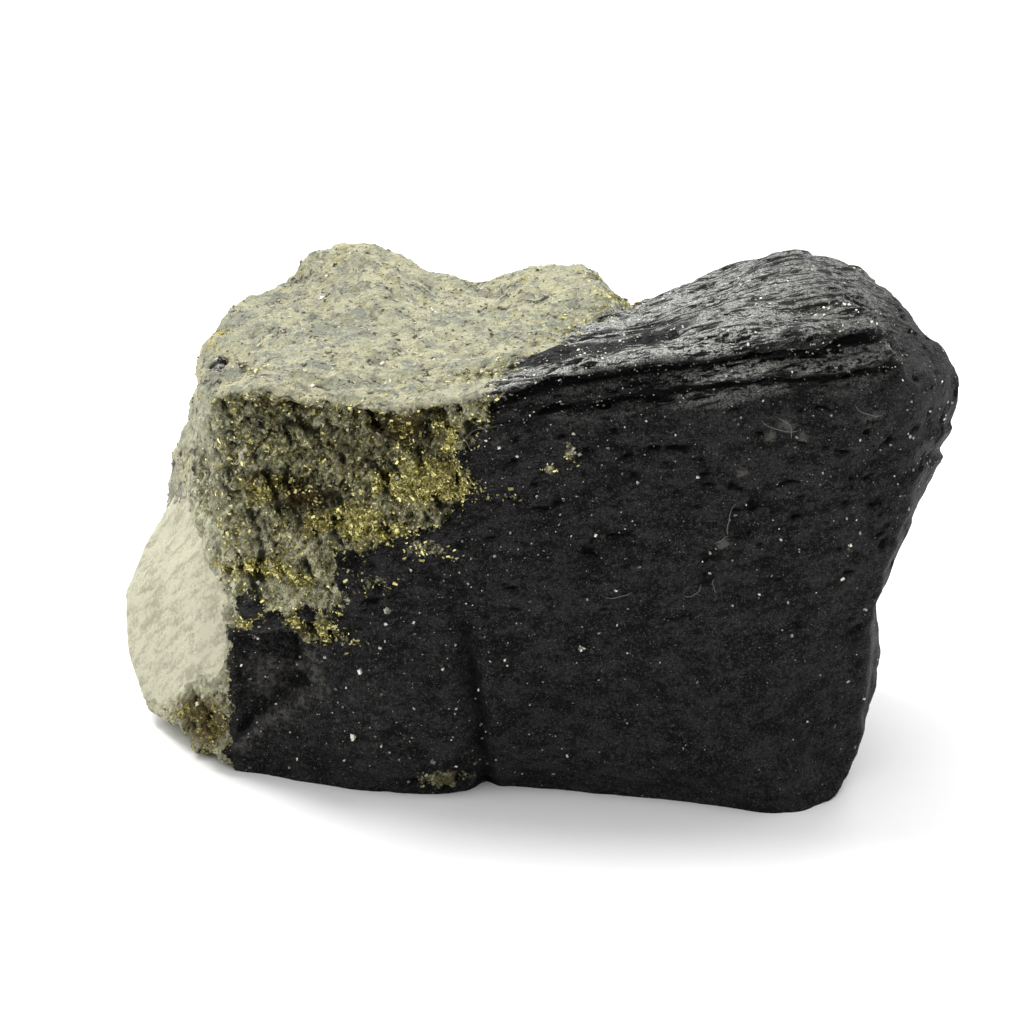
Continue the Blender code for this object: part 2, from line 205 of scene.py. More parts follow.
@dataclass(frozen=True)
class Cage:
    """The corners of the stone's broken faces, in rows from left to right, and the faces between them."""

    heart: Corner = (0.0, 0.5, 11.5)
    far_rim: tuple[Corner, ...] = (
        (-18.2, 3.6, 20.2), (-17.3, 8.6, 20.9), (-15.6, 10.2, 21.0), (-14.0, 11.2, 20.4), (-13.0, 12.0, 21.6),
        (-11.3, 12.2, 23.2), (-8.4, 12.0, 21.9), (-3.5, 10.5, 21.2), (0.2, 9.4, 22.9), (2.2, 9.0, 23.0),
        (4.7, 6.8, 21.3), (9.2, 5.2, 23.8), (13.2, 4.2, 25.4), (16.6, 2.8, 24.9), (19.0, 0.6, 23.9),
    )
    crown: tuple[Corner, ...] = (
        (-13.5, 1.0, 21.8), (-8.0, 2.0, 22.0), (-2.0, 1.0, 22.2), (4.0, 0.0, 23.0), (10.0, -2.0, 25.2),
        (15.0, -2.4, 26.0),
    )
    brow: tuple[Corner, ...] = (
        (-17.2, -7.0, 22.0), (-14.8, -8.4, 23.0), (-12.6, -8.9, 22.5), (-10.0, -9.3, 22.4), (-7.5, -9.4, 22.3),
        (-4.4, -9.4, 22.8), (-2.4, -9.4, 23.4), (2.7, -9.4, 24.6), (7.7, -9.4, 25.4), (12.7, -9.2, 26.2),
        (16.8, -7.6, 26.0),
    )
    face: tuple[Corner, ...] = (
        (-4.6, -9.6, 15.0), (1.0, -10.0, 20.0), (8.0, -10.2, 21.0), (15.0, -9.6, 21.5), (1.0, -10.2, 10.0),
        (8.0, -10.6, 11.0), (15.0, -9.6, 12.0), (4.0, -10.3, 4.0), (11.0, -11.3, 5.0), (-9.5, -9.6, 8.0),
        (-8.0, -10.0, 3.5),
    )
    show_foot: tuple[Corner, ...] = (
        (-21.0, -3.0, 0.8), (-19.2, -4.7, 0.5), (-16.6, -7.4, -0.2), (-13.4, -8.8, -0.8), (-9.0, -9.8, -0.9),
        (-5.6, -10.4, -0.9), (-2.4, -9.4, -0.9), (5.0, -10.8, -0.9), (11.3, -12.3, -0.9), (13.8, -12.5, -0.8),
        (15.8, -11.6, -0.2), (16.7, -8.8, 1.0),
    )
    lobe: tuple[Corner, ...] = (
        (-19.7, -1.4, 13.6), (-20.9, 1.4, 10.8), (-23.2, 2.0, 6.2), (-23.0, 0.4, 3.2), (-22.0, -1.6, 0.8),
        (-17.9, -5.6, 12.2), (-16.3, -7.6, 10.2), (-17.0, -7.6, 6.6), (-19.0, -6.2, 3.4),
    )
    left_end: tuple[Corner, ...] = ((-18.5, -2.4, 18.8), (-18.4, -3.6, 15.6), (-17.0, -7.2, 18.0))
    right_end: tuple[Corner, ...] = (
        (21.3, -2.0, 22.9), (21.8, -3.2, 20.6), (21.5, -3.0, 18.6), (20.6, -2.8, 16.0), (19.6, -2.8, 13.4),
        (18.5, -2.8, 10.6), (17.7, -3.0, 7.6), (18.0, -4.8, 5.8), (16.4, -5.6, 3.0), (19.4, -6.8, 22.0),
        (19.2, -6.8, 17.0), (17.2, -8.2, 10.0),
    )
    back: tuple[Corner, ...] = (
        (-19.0, 7.4, 12.0), (-15.6, 12.6, 15.8), (-8.6, 14.6, 15.2), (-2.6, 13.6, 17.0), (1.6, 12.6, 11.6),
        (6.4, 10.2, 16.4), (12.6, 8.6, 18.0), (18.2, 4.4, 16.4), (9.2, 9.6, 9.0), (16.8, 3.6, 9.6),
        (-20.8, 6.6, 4.4), (-15.2, 12.6, 6.2), (-10.4, 13.2, 2.6), (-5.2, 13.6, 6.4), (3.4, 11.0, 3.4),
        (10.0, 8.0, 3.0), (15.4, 2.6, 3.4),
    )
    far_foot: tuple[Corner, ...] = (
        (-19.8, 3.6, 0.8), (-16.0, 7.0, 0.4), (-12.0, 9.4, -0.3), (-7.0, 10.6, -0.7), (-3.0, 10.4, -0.7),
        (4.0, 8.8, 0.4), (11.0, 5.0, -0.5), (15.0, -1.5, 0.3),
    )
    underside: tuple[Corner, ...] = (
        (-16.0, -1.0, 0.6), (-11.0, -4.6, -0.4), (-6.0, -5.6, -0.6), (-10.0, 3.0, 0.9), (-5.0, 7.2, -0.6),
        (-2.0, 0.6, 1.3), (3.0, -4.8, 0.3), (4.0, 4.4, 1.0), (9.0, -6.4, -0.7), (12.6, -7.6, -0.6),
        (10.0, -0.6, 0.9),
    )
    edge_wear: float = 0.55

    def corners(self) -> Array:
        """Every corner, as seen from the heart."""
        rows = (
            self.far_rim + self.crown + self.brow + self.face + self.show_foot + self.lobe + self.left_end
            + self.right_end + self.back + self.far_foot + self.underside
        )
        return np.array(rows) - self.heart

    def triangles(self, corners: Array) -> Array:
        """The triangles between neighbouring corners, from the convex hull of the directions to them.

        Args:
            corners: the corners, as seen from the heart.

        Returns:
            Three corner numbers for each triangle, turned to face outwards.
        """
        hull = bmesh.new()
        for direction in unit(corners):
            hull.verts.new(direction)
        hull.verts.index_update()
        bmesh.ops.convex_hull(hull, input=hull.verts)
        bmesh.ops.triangulate(hull, faces=hull.faces)
        found = np.array([[vertex.index for vertex in face.verts] for face in hull.faces])
        hull.free()
        a, b, c = (corners[found[:, n]] for n in range(3))
        turned = np.einsum("ij,ij->i", np.cross(b - a, c - a), a) < 0.0
        found[turned] = found[turned][:, ::-1]
        return found

    def distance(self, sight: Array) -> Array:
        """How far from the heart each line of sight meets the faces, with worn edges.

        The distance to the plane of the triangle that the line passes through is averaged over a small disc of
        directions, as wide as the wear, which rounds every edge and leaves the faces flat.

        Args:
            sight: directions of length 1.

        Returns:
            The distances in millimetres.
        """
        corners = self.corners()
        found = self.triangles(corners)
        a, b, c = (corners[found[:, n]] for n in range(3))
        sides = [unit(np.cross(a, b)), unit(np.cross(b, c)), unit(np.cross(c, a))]
        normal = np.cross(b - a, c - a)
        height = np.einsum("ij,ij->i", normal, a)

        def to_faces(directions: Array) -> Array:
            """The distance to the faces with sharp edges, in blocks that fit in memory."""
            found_distance = np.empty(len(directions))
            for start in range(0, len(directions), 20000):
                part = directions[start : start + 20000]
                inside = np.minimum.reduce([part @ side.T for side in sides])
                face = inside.argmax(axis=1)
                found_distance[start : start + 20000] = height[face] / np.einsum("ij,ij->i", part, normal[face])
            return found_distance

        side = unit(np.cross(sight, (0.3, 0.2, 1.0)))
        over = np.cross(sight, side)
        total = 2.0 * to_faces(sight)
        weight = 2.0
        reach = 2.0 * self.edge_wear / total[:, None]
        for ring, count, share in ((0.5, 6, 1.0), (1.0, 9, 0.6)):
            for turn in np.arange(count) * (2.0 * math.pi / count):
                lean = reach * ring * (np.cos(turn) * side + np.sin(turn) * over)
                total += share * to_faces(unit(sight + lean))
                weight += share
        return total / weight


@dataclass(frozen=True)
class ShowSideCuts:
    """What is cut into the show side and what stands on it, as places on it (across, up) and depths."""

    brow: tuple[Corner, ...] = Cage().brow
    scoop_depth: float = 2.6
    scoop_foot: Line = ((-18.0, 9.5), (-14.0, 10.4), (-10.6, 11.2), (-8.6, 13.4), (-4.0, 15.2))
    scoop_wall: Line = ((14.0, -6.6), (16.6, -4.1), (18.4, -3.7), (20.0, -4.8), (22.8, -4.5))
    cleft_line: Line = ((-4.8, 14.0), (-4.3, 9.2), (-3.7, 5.4), (-3.1, -1.0))
    cleft_width: float = 0.5
    cleft_depth: float = 0.8
    chip_corners: Line = ((-16.6, 2.1), (-12.3, 5.9), (-13.1, 9.0), (-16.4, 8.6))
    chip_depth: float = 1.45
    chip_wall: float = 0.45
    lumps: tuple[tuple[float, float, float, float], ...] = (
        (-15.4, 10.4, 0.9, 0.7), (-4.3, 19.4, 1.3, 0.5), (-10.2, 11.6, 1.2, 0.5), (-8.2, 13.4, 1.0, 0.4),
        (-12.6, 12.0, 1.1, 0.4), (-6.8, 17.6, 1.2, 0.45), (-12.4, 15.6, 1.5, 0.5), (-9.6, 4.6, 3.0, 0.3),
        (9.0, 12.0, 6.0, 0.3),
    )
    ribs: tuple[Line, ...] = (
        ((-9.9, 21.6), (-9.3, 19.4), (-8.4, 17.2)), ((-13.4, 21.2), (-12.4, 18.6)), ((-6.9, 21.0), (-5.8, 18.6)),
        ((-16.2, 20.6), (-15.2, 17.0)), ((-13.6, 14.6), (-11.4, 13.2)), ((-11.2, 18.4), (-9.4, 16.2)),
    )
    rib_height: float = 0.5
    rib_width: float = 0.42
    ledge_lines: tuple[Line, ...] = (
        ((-4.2, 22.2), (-0.1, 23.6), (5.2, 24.6), (10.7, 25.3), (17.4, 25.7)),
        ((-2.0, 21.6), (0.6, 22.4), (6.7, 23.5), (10.7, 23.9), (17.8, 23.9)),
    )
    ledge_depths: tuple[float, ...] = (0.85, 0.6)
    ledge_heights: tuple[float, ...] = (1.1, 0.8)
    foot_depth: float = 0.65
    foot_height: float = 2.6

    def brow_height(self, across: Array) -> Array:
        """The height of the brow over each place across."""
        return read_line(across, tuple((corner[0], corner[2]) for corner in self.brow))

    def scoop(self, across: Array, up: Array) -> Array:
        """The hollow at the left: full depth under the brow, sloping out to its foot and to the left."""
        brow = self.brow_height(across)
        foot = read_line(across, self.scoop_foot)
        wall = read_line(up, self.scoop_wall)
        under_brow = smooth_step((brow - 0.25 - up) / 0.9)
        rise = smooth_step(1.1 * (up - foot) / (brow - foot))
        sides = smooth_step((across + 18.6) / 7.0) * smooth_step((wall - across) / 1.0)
        return self.scoop_depth * under_brow * rise * sides

    def cleft(self, across: Array, up: Array) -> Array:
        """The cleft: a bell-shaped groove along its line, deeper towards its foot."""
        away, along = distance_to_line(across, up, self.cleft_line)
        return self.cleft_depth * np.exp(-((away / self.cleft_width) ** 2)) * smooth_step(2.0 * along)

    def chip(self, across: Array, up: Array) -> Array:
        """The lost flake: a floor that sinks to the right, inside a wall."""
        floor = np.clip(0.15 + 0.3 * (across - self.chip_corners[0][0]), 0.0, 1.0)
        return self.chip_depth * floor * smooth_step(inside_outline(across, up, self.chip_corners) / self.chip_wall)

    def lump(self, across: Array, up: Array) -> Array:
        """The small rounded lumps: bells of the listed radii and heights."""
        height = np.zeros(len(across))
        for middle, level, radius, proud in self.lumps:
            height += proud * np.exp(-((across - middle) ** 2 + (up - level) ** 2) / radius**2)
        for rib in self.ribs:
            away, along = distance_to_line(across, up, rib)
            fade = 4.0 * along * (1.0 - along)
            height += self.rib_height * fade * np.exp(-((away / self.rib_width) ** 2))
        return height

    def ledges(self, across: Array, up: Array) -> Array:
        """The stepped layers: cut back under each lip, and out again below it."""
        depth = np.zeros(len(across))
        for line, step, height in zip(self.ledge_lines, self.ledge_depths, self.ledge_heights):
            ends = smooth_step((across - line[0][0]) / 3.0) * smooth_step((line[-1][0] + 1.5 - across) / 4.0)
            below = read_line(across, line) - up
            back = smooth_step(below / 0.35) * (1.0 - smooth_step((below - 0.5 * height) / height))
            depth += step * ends * back
        return depth

    def depth(self, points: Array, sight: Array) -> Array:
        """How far each point of the show side is set back, with ragged edges to the scoop and the ledges."""
        across, away, up = points.T
        facing = smooth_step((-4.0 - away) / 2.5) * smooth_step(-3.0 * sight[:, 1])
        ragged_across = across + 0.5 * Roughness(3.0, 21, 2).at(points)
        ragged_up = up + 0.35 * Roughness(2.6, 31, 2).at(points)
        cuts = self.scoop(ragged_across, up) + self.cleft(across, up) + self.chip(across, up)
        foot = self.foot_depth * smooth_step(1.0 - up / self.foot_height) * smooth_step((across + 17.5) / 3.0)
        return facing * (cuts + foot + self.ledges(across, ragged_up) - self.lump(across, up))


@dataclass(frozen=True)
class StoneForm:
    """The stone's whole form: the cage, the cuts, the broken layers and the lumps.

    Attributes:
        half_box: the box of points that the skin starts from, as the stone's rough proportions.
        middle: the middle of the drawn stone, which becomes the origin.
        counts: cells of the skin along each axis.
        crowding: how much closer the cells lie towards the end of each axis that the sign names.
    """

    cage: Cage = Cage()
    cuts: ShowSideCuts = ShowSideCuts()
    half_box: Corner = (22.0, 11.5, 13.0)
    middle: Corner = (-0.7, 1.1, 0.0)
    counts: tuple[int, int, int] = (200, 84, 106)
    crowding: Corner = (-0.10, -0.20, 0.16)
    edge_wander: float = 0.018
    layer_normal: Corner = (-0.19, 0.24, 0.95)
    layer_thickness: float = 2.6
    layer_step: float = 0.7
    lump_size: float = 5.5
    lump_height: float = 0.3
    knob_rows: tuple[tuple[float, float, float, float, float], ...] = (
        (-13.2, 11.8, 22.6, 1.1, 0.45), (-15.0, 11.2, 21.2, 1.1, -0.55), (4.4, 7.4, 21.8, 1.3, -0.6),
        (6.4, 6.6, 22.6, 1.2, -0.3), (-19.4, -1.0, 17.0, 1.8, -0.45), (-19.8, -1.2, 14.4, 1.5, -0.3),
        (20.9, -1.6, 23.6, 1.8, -0.6), (-18.3, 0.4, 20.4, 0.6, -0.4), (15.4, -11.6, 1.0, 2.2, -0.8),
        (-6.4, -2.7, 22.3, 0.45, -0.4), (-6.1, -3.3, 22.4, 0.35, 0.2), (-19.6, -2.6, 16.4, 0.6, -0.3),
    )

    def lattice(self) -> tuple[Array, Array]:
        """Points on the six sides of a box of cells, each axis from -1 to 1.

        Returns:
            The points, and the four point numbers of each face, turned to face outwards.
        """
        number = np.full(np.add(self.counts, 1), -1)
        spots = np.indices(number.shape).reshape(3, -1).T
        spots = spots[((spots == 0) | (spots == self.counts)).any(axis=1)]
        number[tuple(spots.T)] = np.arange(len(spots))
        faces = []
        for axis in range(3):
            for end in (0, -1):
                sheet = np.take(number, end, axis=axis)
                quads = np.stack([sheet[:-1, :-1], sheet[1:, :-1], sheet[1:, 1:], sheet[:-1, 1:]], axis=-1)
                outwards = (end == -1) == (axis != 1)
                faces.append(quads.reshape(-1, 4)[:, :: 1 if outwards else -1])
        even = spots * (2.0 / np.array(self.counts)) - 1.0
        return even + self.crowding * (1.0 - even**2), np.concatenate(faces)

    def layers(self, points: Array, sight: Array) -> Array:
        """The shale's layers round the back and the dark end.

        The height across the layers, bent by noise, is cut into layers of uneven thickness. Each slopes out over
        eight tenths of its thickness and drops back over the rest, by a step of its own.
        """
        across, away, _ = points.T
        normal = np.array(self.layer_normal)
        height = points @ normal
        uneven = 0.8 * Roughness(4.0, 5).at(np.outer(height, (1.0, 0.0, 0.0)))
        layer = height / self.layer_thickness + uneven + 0.6 * Roughness(9.0, 2).at(points)
        number = np.floor(layer)
        place = np.stack([number, np.floor(0.12 * across), np.zeros(len(across))], axis=1)
        proud = 0.55 + 0.45 * cell_values(place, 7)[:, 0]
        slope = smooth_step((layer - number) / 0.8) - smooth_step((layer - number - 0.8) / 0.2)
        upright = np.clip(1.3 - 1.6 * np.abs(sight @ normal), 0.0, 1.0)
        behind = smooth_step((away + 1.0) / 4.0) * smooth_step((across + 20.0) / 4.0)
        dark_end = smooth_step((across - 14.5) / 3.0)
        return self.layer_step * proud * slope * upright * np.clip(behind + 0.45 * dark_end, 0.0, 1.0)

    def lumps(self, points: Array) -> Array:
        """The lumps of the broken stone: three layers of noise, lowest on the dark face and the pale facet."""
        across, away, up = points.T
        dark_face = smooth_step((-6.5 - away) / 2.0) * smooth_step((across + 4.0) / 2.0)
        pale_facet = smooth_step((-16.0 - across) / 1.5) * smooth_step((14.5 - up) / 2.0)
        calm = 1.0 - 0.5 * dark_face - 0.85 * pale_facet * smooth_step((2.0 - away) / 2.0)
        return self.lump_height * Roughness(self.lump_size, 1, 3).at(points) * calm

    def knobs(self, points: Array) -> Array:
        """The single knobs and dents: bells of the listed radii and heights about their middles."""
        height = np.zeros(len(points))
        for x, y, z, radius, proud in self.knob_rows:
            height += proud * np.exp(-np.sum((points - (x, y, z)) ** 2, axis=1) / radius**2)
        return height

    def skin(self) -> tuple[Array, Array]:
        """The stone's skin in the drawing's place.

        Returns:
            Its points in millimetres, and the four point numbers of each face.
        """
        lattice, faces = self.lattice()
        sight = unit(lattice * self.half_box)
        wander = np.stack([Roughness(5.0, seed, 2).at(sight * 20.0) for seed in (11, 12, 13)], axis=1)
        points = sight * self.cage.distance(unit(sight + self.edge_wander * wander))[:, None] + self.cage.heart
        points[:, 1] += self.cuts.depth(points, sight)
        relief = self.lumps(points) + self.layers(points, sight) + self.knobs(points)
        points += sight * relief[:, None]
        return points, faces


@dataclass(frozen=True)
class Zones:
    """Where each kind of surface lies, as shares from 0 to 1 at points of the skin.

    Attributes:
        crust_on_show: (up, across) of the crust's edge on the show side.
        crust_on_top: (away, across) of the crust's edge on the top.
        gold: (across, up, half width, half height, share) of the golden patches on the show side.
        rust: the same for the brown ones; those just under the brow are painted shade.
        islands: the same for the olive crust on the dark face.
        dust: the same for the smudges of pale dust on the dark face; the one over the chip also lightens its floor as
            painted light.
        holes: (across, away, up, radius) of the dark holes in the pale crust.
        bare: (across, up, radius) of dark spots in the crust of the hollow.
        chip: (across, up) corners of the bare rock of the chip.
        facet: (away, up) corners of the pale facet at the left end.
    """

    crust_on_show: Line = (
        (2.0, -16.9), (8.2, -16.5), (8.7, -11.6), (12.2, -11.2), (13.8, -10.2), (15.0, -7.4), (17.2, -3.8),
        (19.4, -4.9), (21.0, -3.9), (22.8, -2.4),
    )
    crust_on_top: Line = ((-9.6, -3.9), (-6.4, -0.9), (-2.5, 0.1), (2.2, 2.6), (7.1, 6.4), (13.0, 7.5))
    gold: tuple[tuple[float, float, float, float, float], ...] = (
        (-5.7, 17.8, 1.9, 0.9, 1.05), (-7.9, 17.4, 1.2, 0.7, 0.75), (-9.9, 15.2, 1.6, 0.8, 0.9),
        (-8.1, 15.0, 1.3, 0.5, 0.65), (-11.8, 14.9, 1.0, 0.5, 0.6), (-14.6, 16.5, 1.1, 0.6, 0.6),
        (-14.9, 12.4, 1.5, 0.5, 0.85), (-16.9, 12.0, 0.9, 0.5, 0.5), (-12.9, 12.0, 1.0, 0.4, 0.7),
        (-11.5, 9.2, 0.8, 0.6, 0.75), (-12.9, 9.7, 0.6, 0.4, 0.6), (-15.6, 9.3, 0.5, 0.5, 0.6),
        (-7.4, 19.8, 0.6, 0.9, 0.35), (-5.0, 20.6, 0.7, 0.9, 0.45), (-10.4, 20.9, 0.6, 0.4, 0.4),
    )
    # Brown stains, and dark brown patches just under the brow that are painted shade where the brow overhangs.
    rust: tuple[tuple[float, float, float, float, float], ...] = (
        (-12.6, 16.2, 1.8, 0.9, 0.6), (-14.9, 16.9, 1.2, 0.8, 0.5), (-12.9, 9.5, 0.9, 0.8, 0.9),
        (-7.4, 20.2, 2.2, 1.2, 0.5), (-12.5, 21.3, 3.0, 0.6, 0.6), (-18.4, 2.6, 1.6, 1.8, 0.75),
        (-16.6, 9.2, 0.7, 1.0, 0.7), (-9.5, 18.9, 3.2, 1.0, 0.3), (-5.1, 1.2, 1.0, 0.4, 0.45),
    )
    islands: tuple[tuple[float, float, float, float, float], ...] = (
        (-5.3, 1.0, 1.7, 0.7, 0.8), (1.2, 19.9, 0.4, 0.6, 0.7), (-1.7, 17.3, 0.4, 0.35, 0.65),
        (0.1, 18.9, 0.3, 0.3, 0.65), (-8.9, 12.2, 1.3, 0.6, 0.5), (-10.2, 8.9, 0.8, 0.6, 0.5), (-6.2, 14.2, 1.6, 0.5, 0.5),
    )
    dust: tuple[tuple[float, float, float, float, float], ...] = (
        (12.1, 21.4, 0.6, 0.35, 0.75), (11.3, 21.0, 0.3, 0.5, 0.7), (9.0, 15.2, 0.45, 0.28, 0.9),
        (10.0, 18.9, 0.45, 0.35, 0.7), (13.0, 20.8, 0.4, 0.4, 0.6), (16.6, 21.4, 0.8, 0.3, 0.6),
        (-12.9, 6.4, 0.35, 0.35, 1.0), (-15.2, 10.0, 0.5, 0.3, 0.6), (-4.4, 21.0, 1.2, 0.8, 0.5), (-2.9, 20.4, 1.7, 1.1, 0.34),
        (-14.6, 5.8, 2.0, 2.6, 0.46), (-9.5, 4.5, 4.0, 4.5, 0.25), (9.0, 10.0, 9.0, 5.0, 0.14),
    )
    holes: tuple[tuple[float, float, float, float], ...] = (
        (-6.4, -2.7, 22.3, 0.42), (-17.7, 1.2, 20.5, 0.75), (-18.4, 0.2, 20.0, 0.6), (-19.6, -2.6, 16.4, 0.6),
    )
    bare: tuple[Corner, ...] = ((-15.5, 10.4, 0.9), (-14.2, 9.7, 0.6), (-12.6, 10.0, 0.55), (-7.2, 11.8, 0.8))
    chip: Line = ((-16.8, -1.0), (-11.0, -1.0), (-12.0, 5.9), (-13.0, 9.2), (-15.2, 9.4), (-16.6, 8.8))
    facet: Line = (
        (0.9, -0.6), (4.9, 2.4), (4.0, 10.5), (-1.6, 14.8), (-5.6, 13.0), (-8.4, 10.6), (-8.3, 6.2), (-4.5, 2.0)
    )

    def shares(self, points: Array, normals: Array, brow: Array) -> dict[str, Array]:
        """The share of each kind of surface.

        Args:
            points: in the drawing's place.
            normals: the skin's normals at the points.
            brow: the height of the brow over each point.

        Returns:
            Arrays by the names that the finishes read.
        """
        across, away, up = points.T
        on_show = smooth_step((-4.2 - away) / 1.6) * smooth_step((brow - 0.15 - up) / 0.35)
        behind = smooth_step((away + 5.0) / 6.0)
        wander = 1.1 * Roughness(2.4, 41, 4).at(points) + 1.6 * behind * Roughness(6.0, 43, 3).at(points)
        edge_behind = read_line(away, self.crust_on_top) + 0.3 * (up - 22.0)
        edge = on_show * read_line(up, self.crust_on_show) + (1.0 - on_show) * edge_behind
        crust = smooth_step((edge + wander - across) / (3.0 + 3.0 * behind) + 0.5)
        bared = smooth_step((Roughness(6.5, 48, 4).at(points) - 0.2) / 0.9) * smooth_step((away - 4.0) / 5.0)
        crust *= 1.0 - 0.75 * bared
        for middle, level, radius in self.bare:
            crust *= 1.0 - on_show * np.exp(-(((across - middle) ** 2 + (up - level) ** 2) / radius**2) ** 2)
        for x, y, z, radius in self.holes:
            crust *= 1.0 - np.exp(-((np.sum((points - (x, y, z)) ** 2, axis=1) / radius**2) ** 2))
        crust = np.maximum(crust, on_show * self.patches(across, up, self.islands))
        ragged = 0.45 * Roughness(0.9, 45, 3).at(points)
        chip = smooth_step((inside_outline(across, up, self.chip) + ragged) / 0.35 + 0.6)
        crust *= 1.0 - on_show * chip
        facet_depth = inside_outline(away, up, self.facet_ring())
        facet_end = -15.0 + 0.8 * smooth_step((up - 7.0) / 2.5) * smooth_step((12.0 - up) / 2.0)
        facet = smooth_step((facet_depth + ragged) / 1.3) * smooth_step((facet_end + ragged - across) / 0.9)
        facet *= 1.0 - chip * smooth_step((across + 17.3) / 0.5)
        foot = smooth_step((-18.0 - 0.9 * across - up) / 2.0 + 6.6) * smooth_step((-2.0 - away) / 2.0)
        foot *= smooth_step((6.0 - up) / 2.0)
        cuts = ShowSideCuts()
        corners = cuts.chip_corners
        chip_depth = inside_outline(across, up, corners)
        from_edge = distance_to_line(across, up, corners[:3])[0]
        # Painted highlight: a lighter rim round the chip's edge and a lighter slope below its lower edge, where the
        # edge catches the light; they go into the dust share.
        rim = 0.42 * np.exp(-(((chip_depth + 0.15) / 0.3) ** 2)) * smooth_step((across + 16.0) / 1.0)
        slope = 0.46 * np.exp(-((from_edge / 1.5) ** 2)) * smooth_step(-chip_depth / 0.25)
        dust = np.max([rim, slope, self.patches(across, up, self.dust)], axis=0)
        shade = 0.62 * smooth_step(chip_depth / 0.2) * np.exp(-(((from_edge - 0.2) / 0.6) ** 2))
        from_cleft, down = distance_to_line(across - 0.15, up, cuts.cleft_line)
        shade += 0.55 * smooth_step(2.0 * down) * np.exp(-((from_cleft / 0.5) ** 2))
        flank = 0.55 + 0.4 * smooth_step((18.0 - up) / 1.5) * smooth_step((up - 13.0) / 1.5)
        flank *= smooth_step((-16.5 - across) / 1.5) * smooth_step((19.5 - up) / 2.0)
        flank *= smooth_step((-1.0 - away) / 2.5)
        fringe = 0.75 * behind * smooth_step(5.0 * crust * (1.0 - crust) - 0.35)
        moss = 0.9 * smooth_step((Roughness(5.5, 57, 4).at(points) - 0.10) / 0.5) * smooth_step((away - 3.0) / 4.0)
        moss *= smooth_step((20.5 - up) / 3.0)
        gold = on_show * self.patches(across, up, self.gold) + 0.25 * moss + 0.2 * foot
        rust = smooth_step((-2.0 - away) / 2.0) * self.patches(across, up, self.rust)
        under_brow = smooth_step((-3.0 - away) / 2.0) * smooth_step((brow - 0.2 - up) / 0.6)
        ledge = smooth_step((-3.0 - away) / 2.0) * smooth_step((brow + 0.5 - up) / 0.6)
        ledge *= smooth_step((3.6 - brow + up) / 2.0)
        tread = ledge * smooth_step((across - 5.0) / 4.0)
        # Painted sheen: the shale's upward faces, which the finish paints light grey in streaks; less under the brow,
        # on the back and towards the right end.
        painted_sheen = smooth_step((normals[:, 2] - 0.42 + 0.2 * tread) / 0.3)
        painted_sheen *= 1.0 - 0.7 * behind * smooth_step((19.5 - up) / 3.0)
        veins = smooth_step((Roughness(6.0, 51, 3).at(points) - 0.45) / 0.5) * (1.0 - on_show)
        return {
            "crust": crust,
            "gold": np.clip(gold + 0.5 * veins * crust * smooth_step((away + 1.0) / 3.0), 0.0, 1.0) * (1.0 - facet),
            "rust": np.clip(rust, 0.0, 1.0) * (1.0 - facet),
            "facet": facet,
            "top": painted_sheen * smooth_step((19.4 - across) / 3.0) * (1.0 - 0.9 * under_brow * (1.0 - tread)),
            "ledge": ledge * (1.0 - crust),
            # low: painted shade in the chip, along the cleft and under the lips of the ledges
            "low": (shade * on_show + self.painted_lip_shade(across, up) * smooth_step((-3.0 - away) / 2.0)) * (1.0 - crust),
            "dust": dust * smooth_step((-4.0 - away) / 1.5) * (1.0 - crust),
            "hollow": np.max([on_show * smooth_step((across + 18.6) / 2.5), foot, flank, fringe, moss], axis=0)
            * smooth_step(2.0 * crust) * (1.0 - facet),
        }

    def painted_lip_shade(self, across: Array, up: Array) -> Array:
        """Painted shade: the dark bands right under the lips of the ledges, where the undercut lies in shade."""
        cuts = ShowSideCuts()
        share = np.zeros(len(across))
        for line, height in zip(cuts.ledge_lines, cuts.ledge_heights):
            ends = smooth_step((across - line[0][0]) / 3.0) * smooth_step((line[-1][0] + 1.0 - across) / 2.0)
            below = read_line(across, line) - up
            share = np.maximum(share, ends * smooth_step(below / 0.2 + 0.3) * smooth_step((0.85 * height - below) / 0.4))
        return share

    def facet_ring(self) -> Line:
        """The facet's corners, anticlockwise as (away, up)."""
        return self.facet

    def patches(self, across: Array, up: Array, spots: tuple[tuple[float, ...], ...]) -> Array:
        """The greatest of the patches' bells at each place."""
        share = np.zeros(len(across))
        for middle, level, wide, high, most in spots:
            bell = most * np.exp(-(((across - middle) / wide) ** 2) - ((up - level) / high) ** 2)
            share = np.maximum(share, bell)
        return share


# ---------------------------------------------------------------------------------------------------------------
# Wiring of materials
# ---------------------------------------------------------------------------------------------------------------


class Blend(Enum):
    """How two colours are put together."""

    MIX = "MIX"
    MULTIPLY = "MULTIPLY"
    SCREEN = "SCREEN"


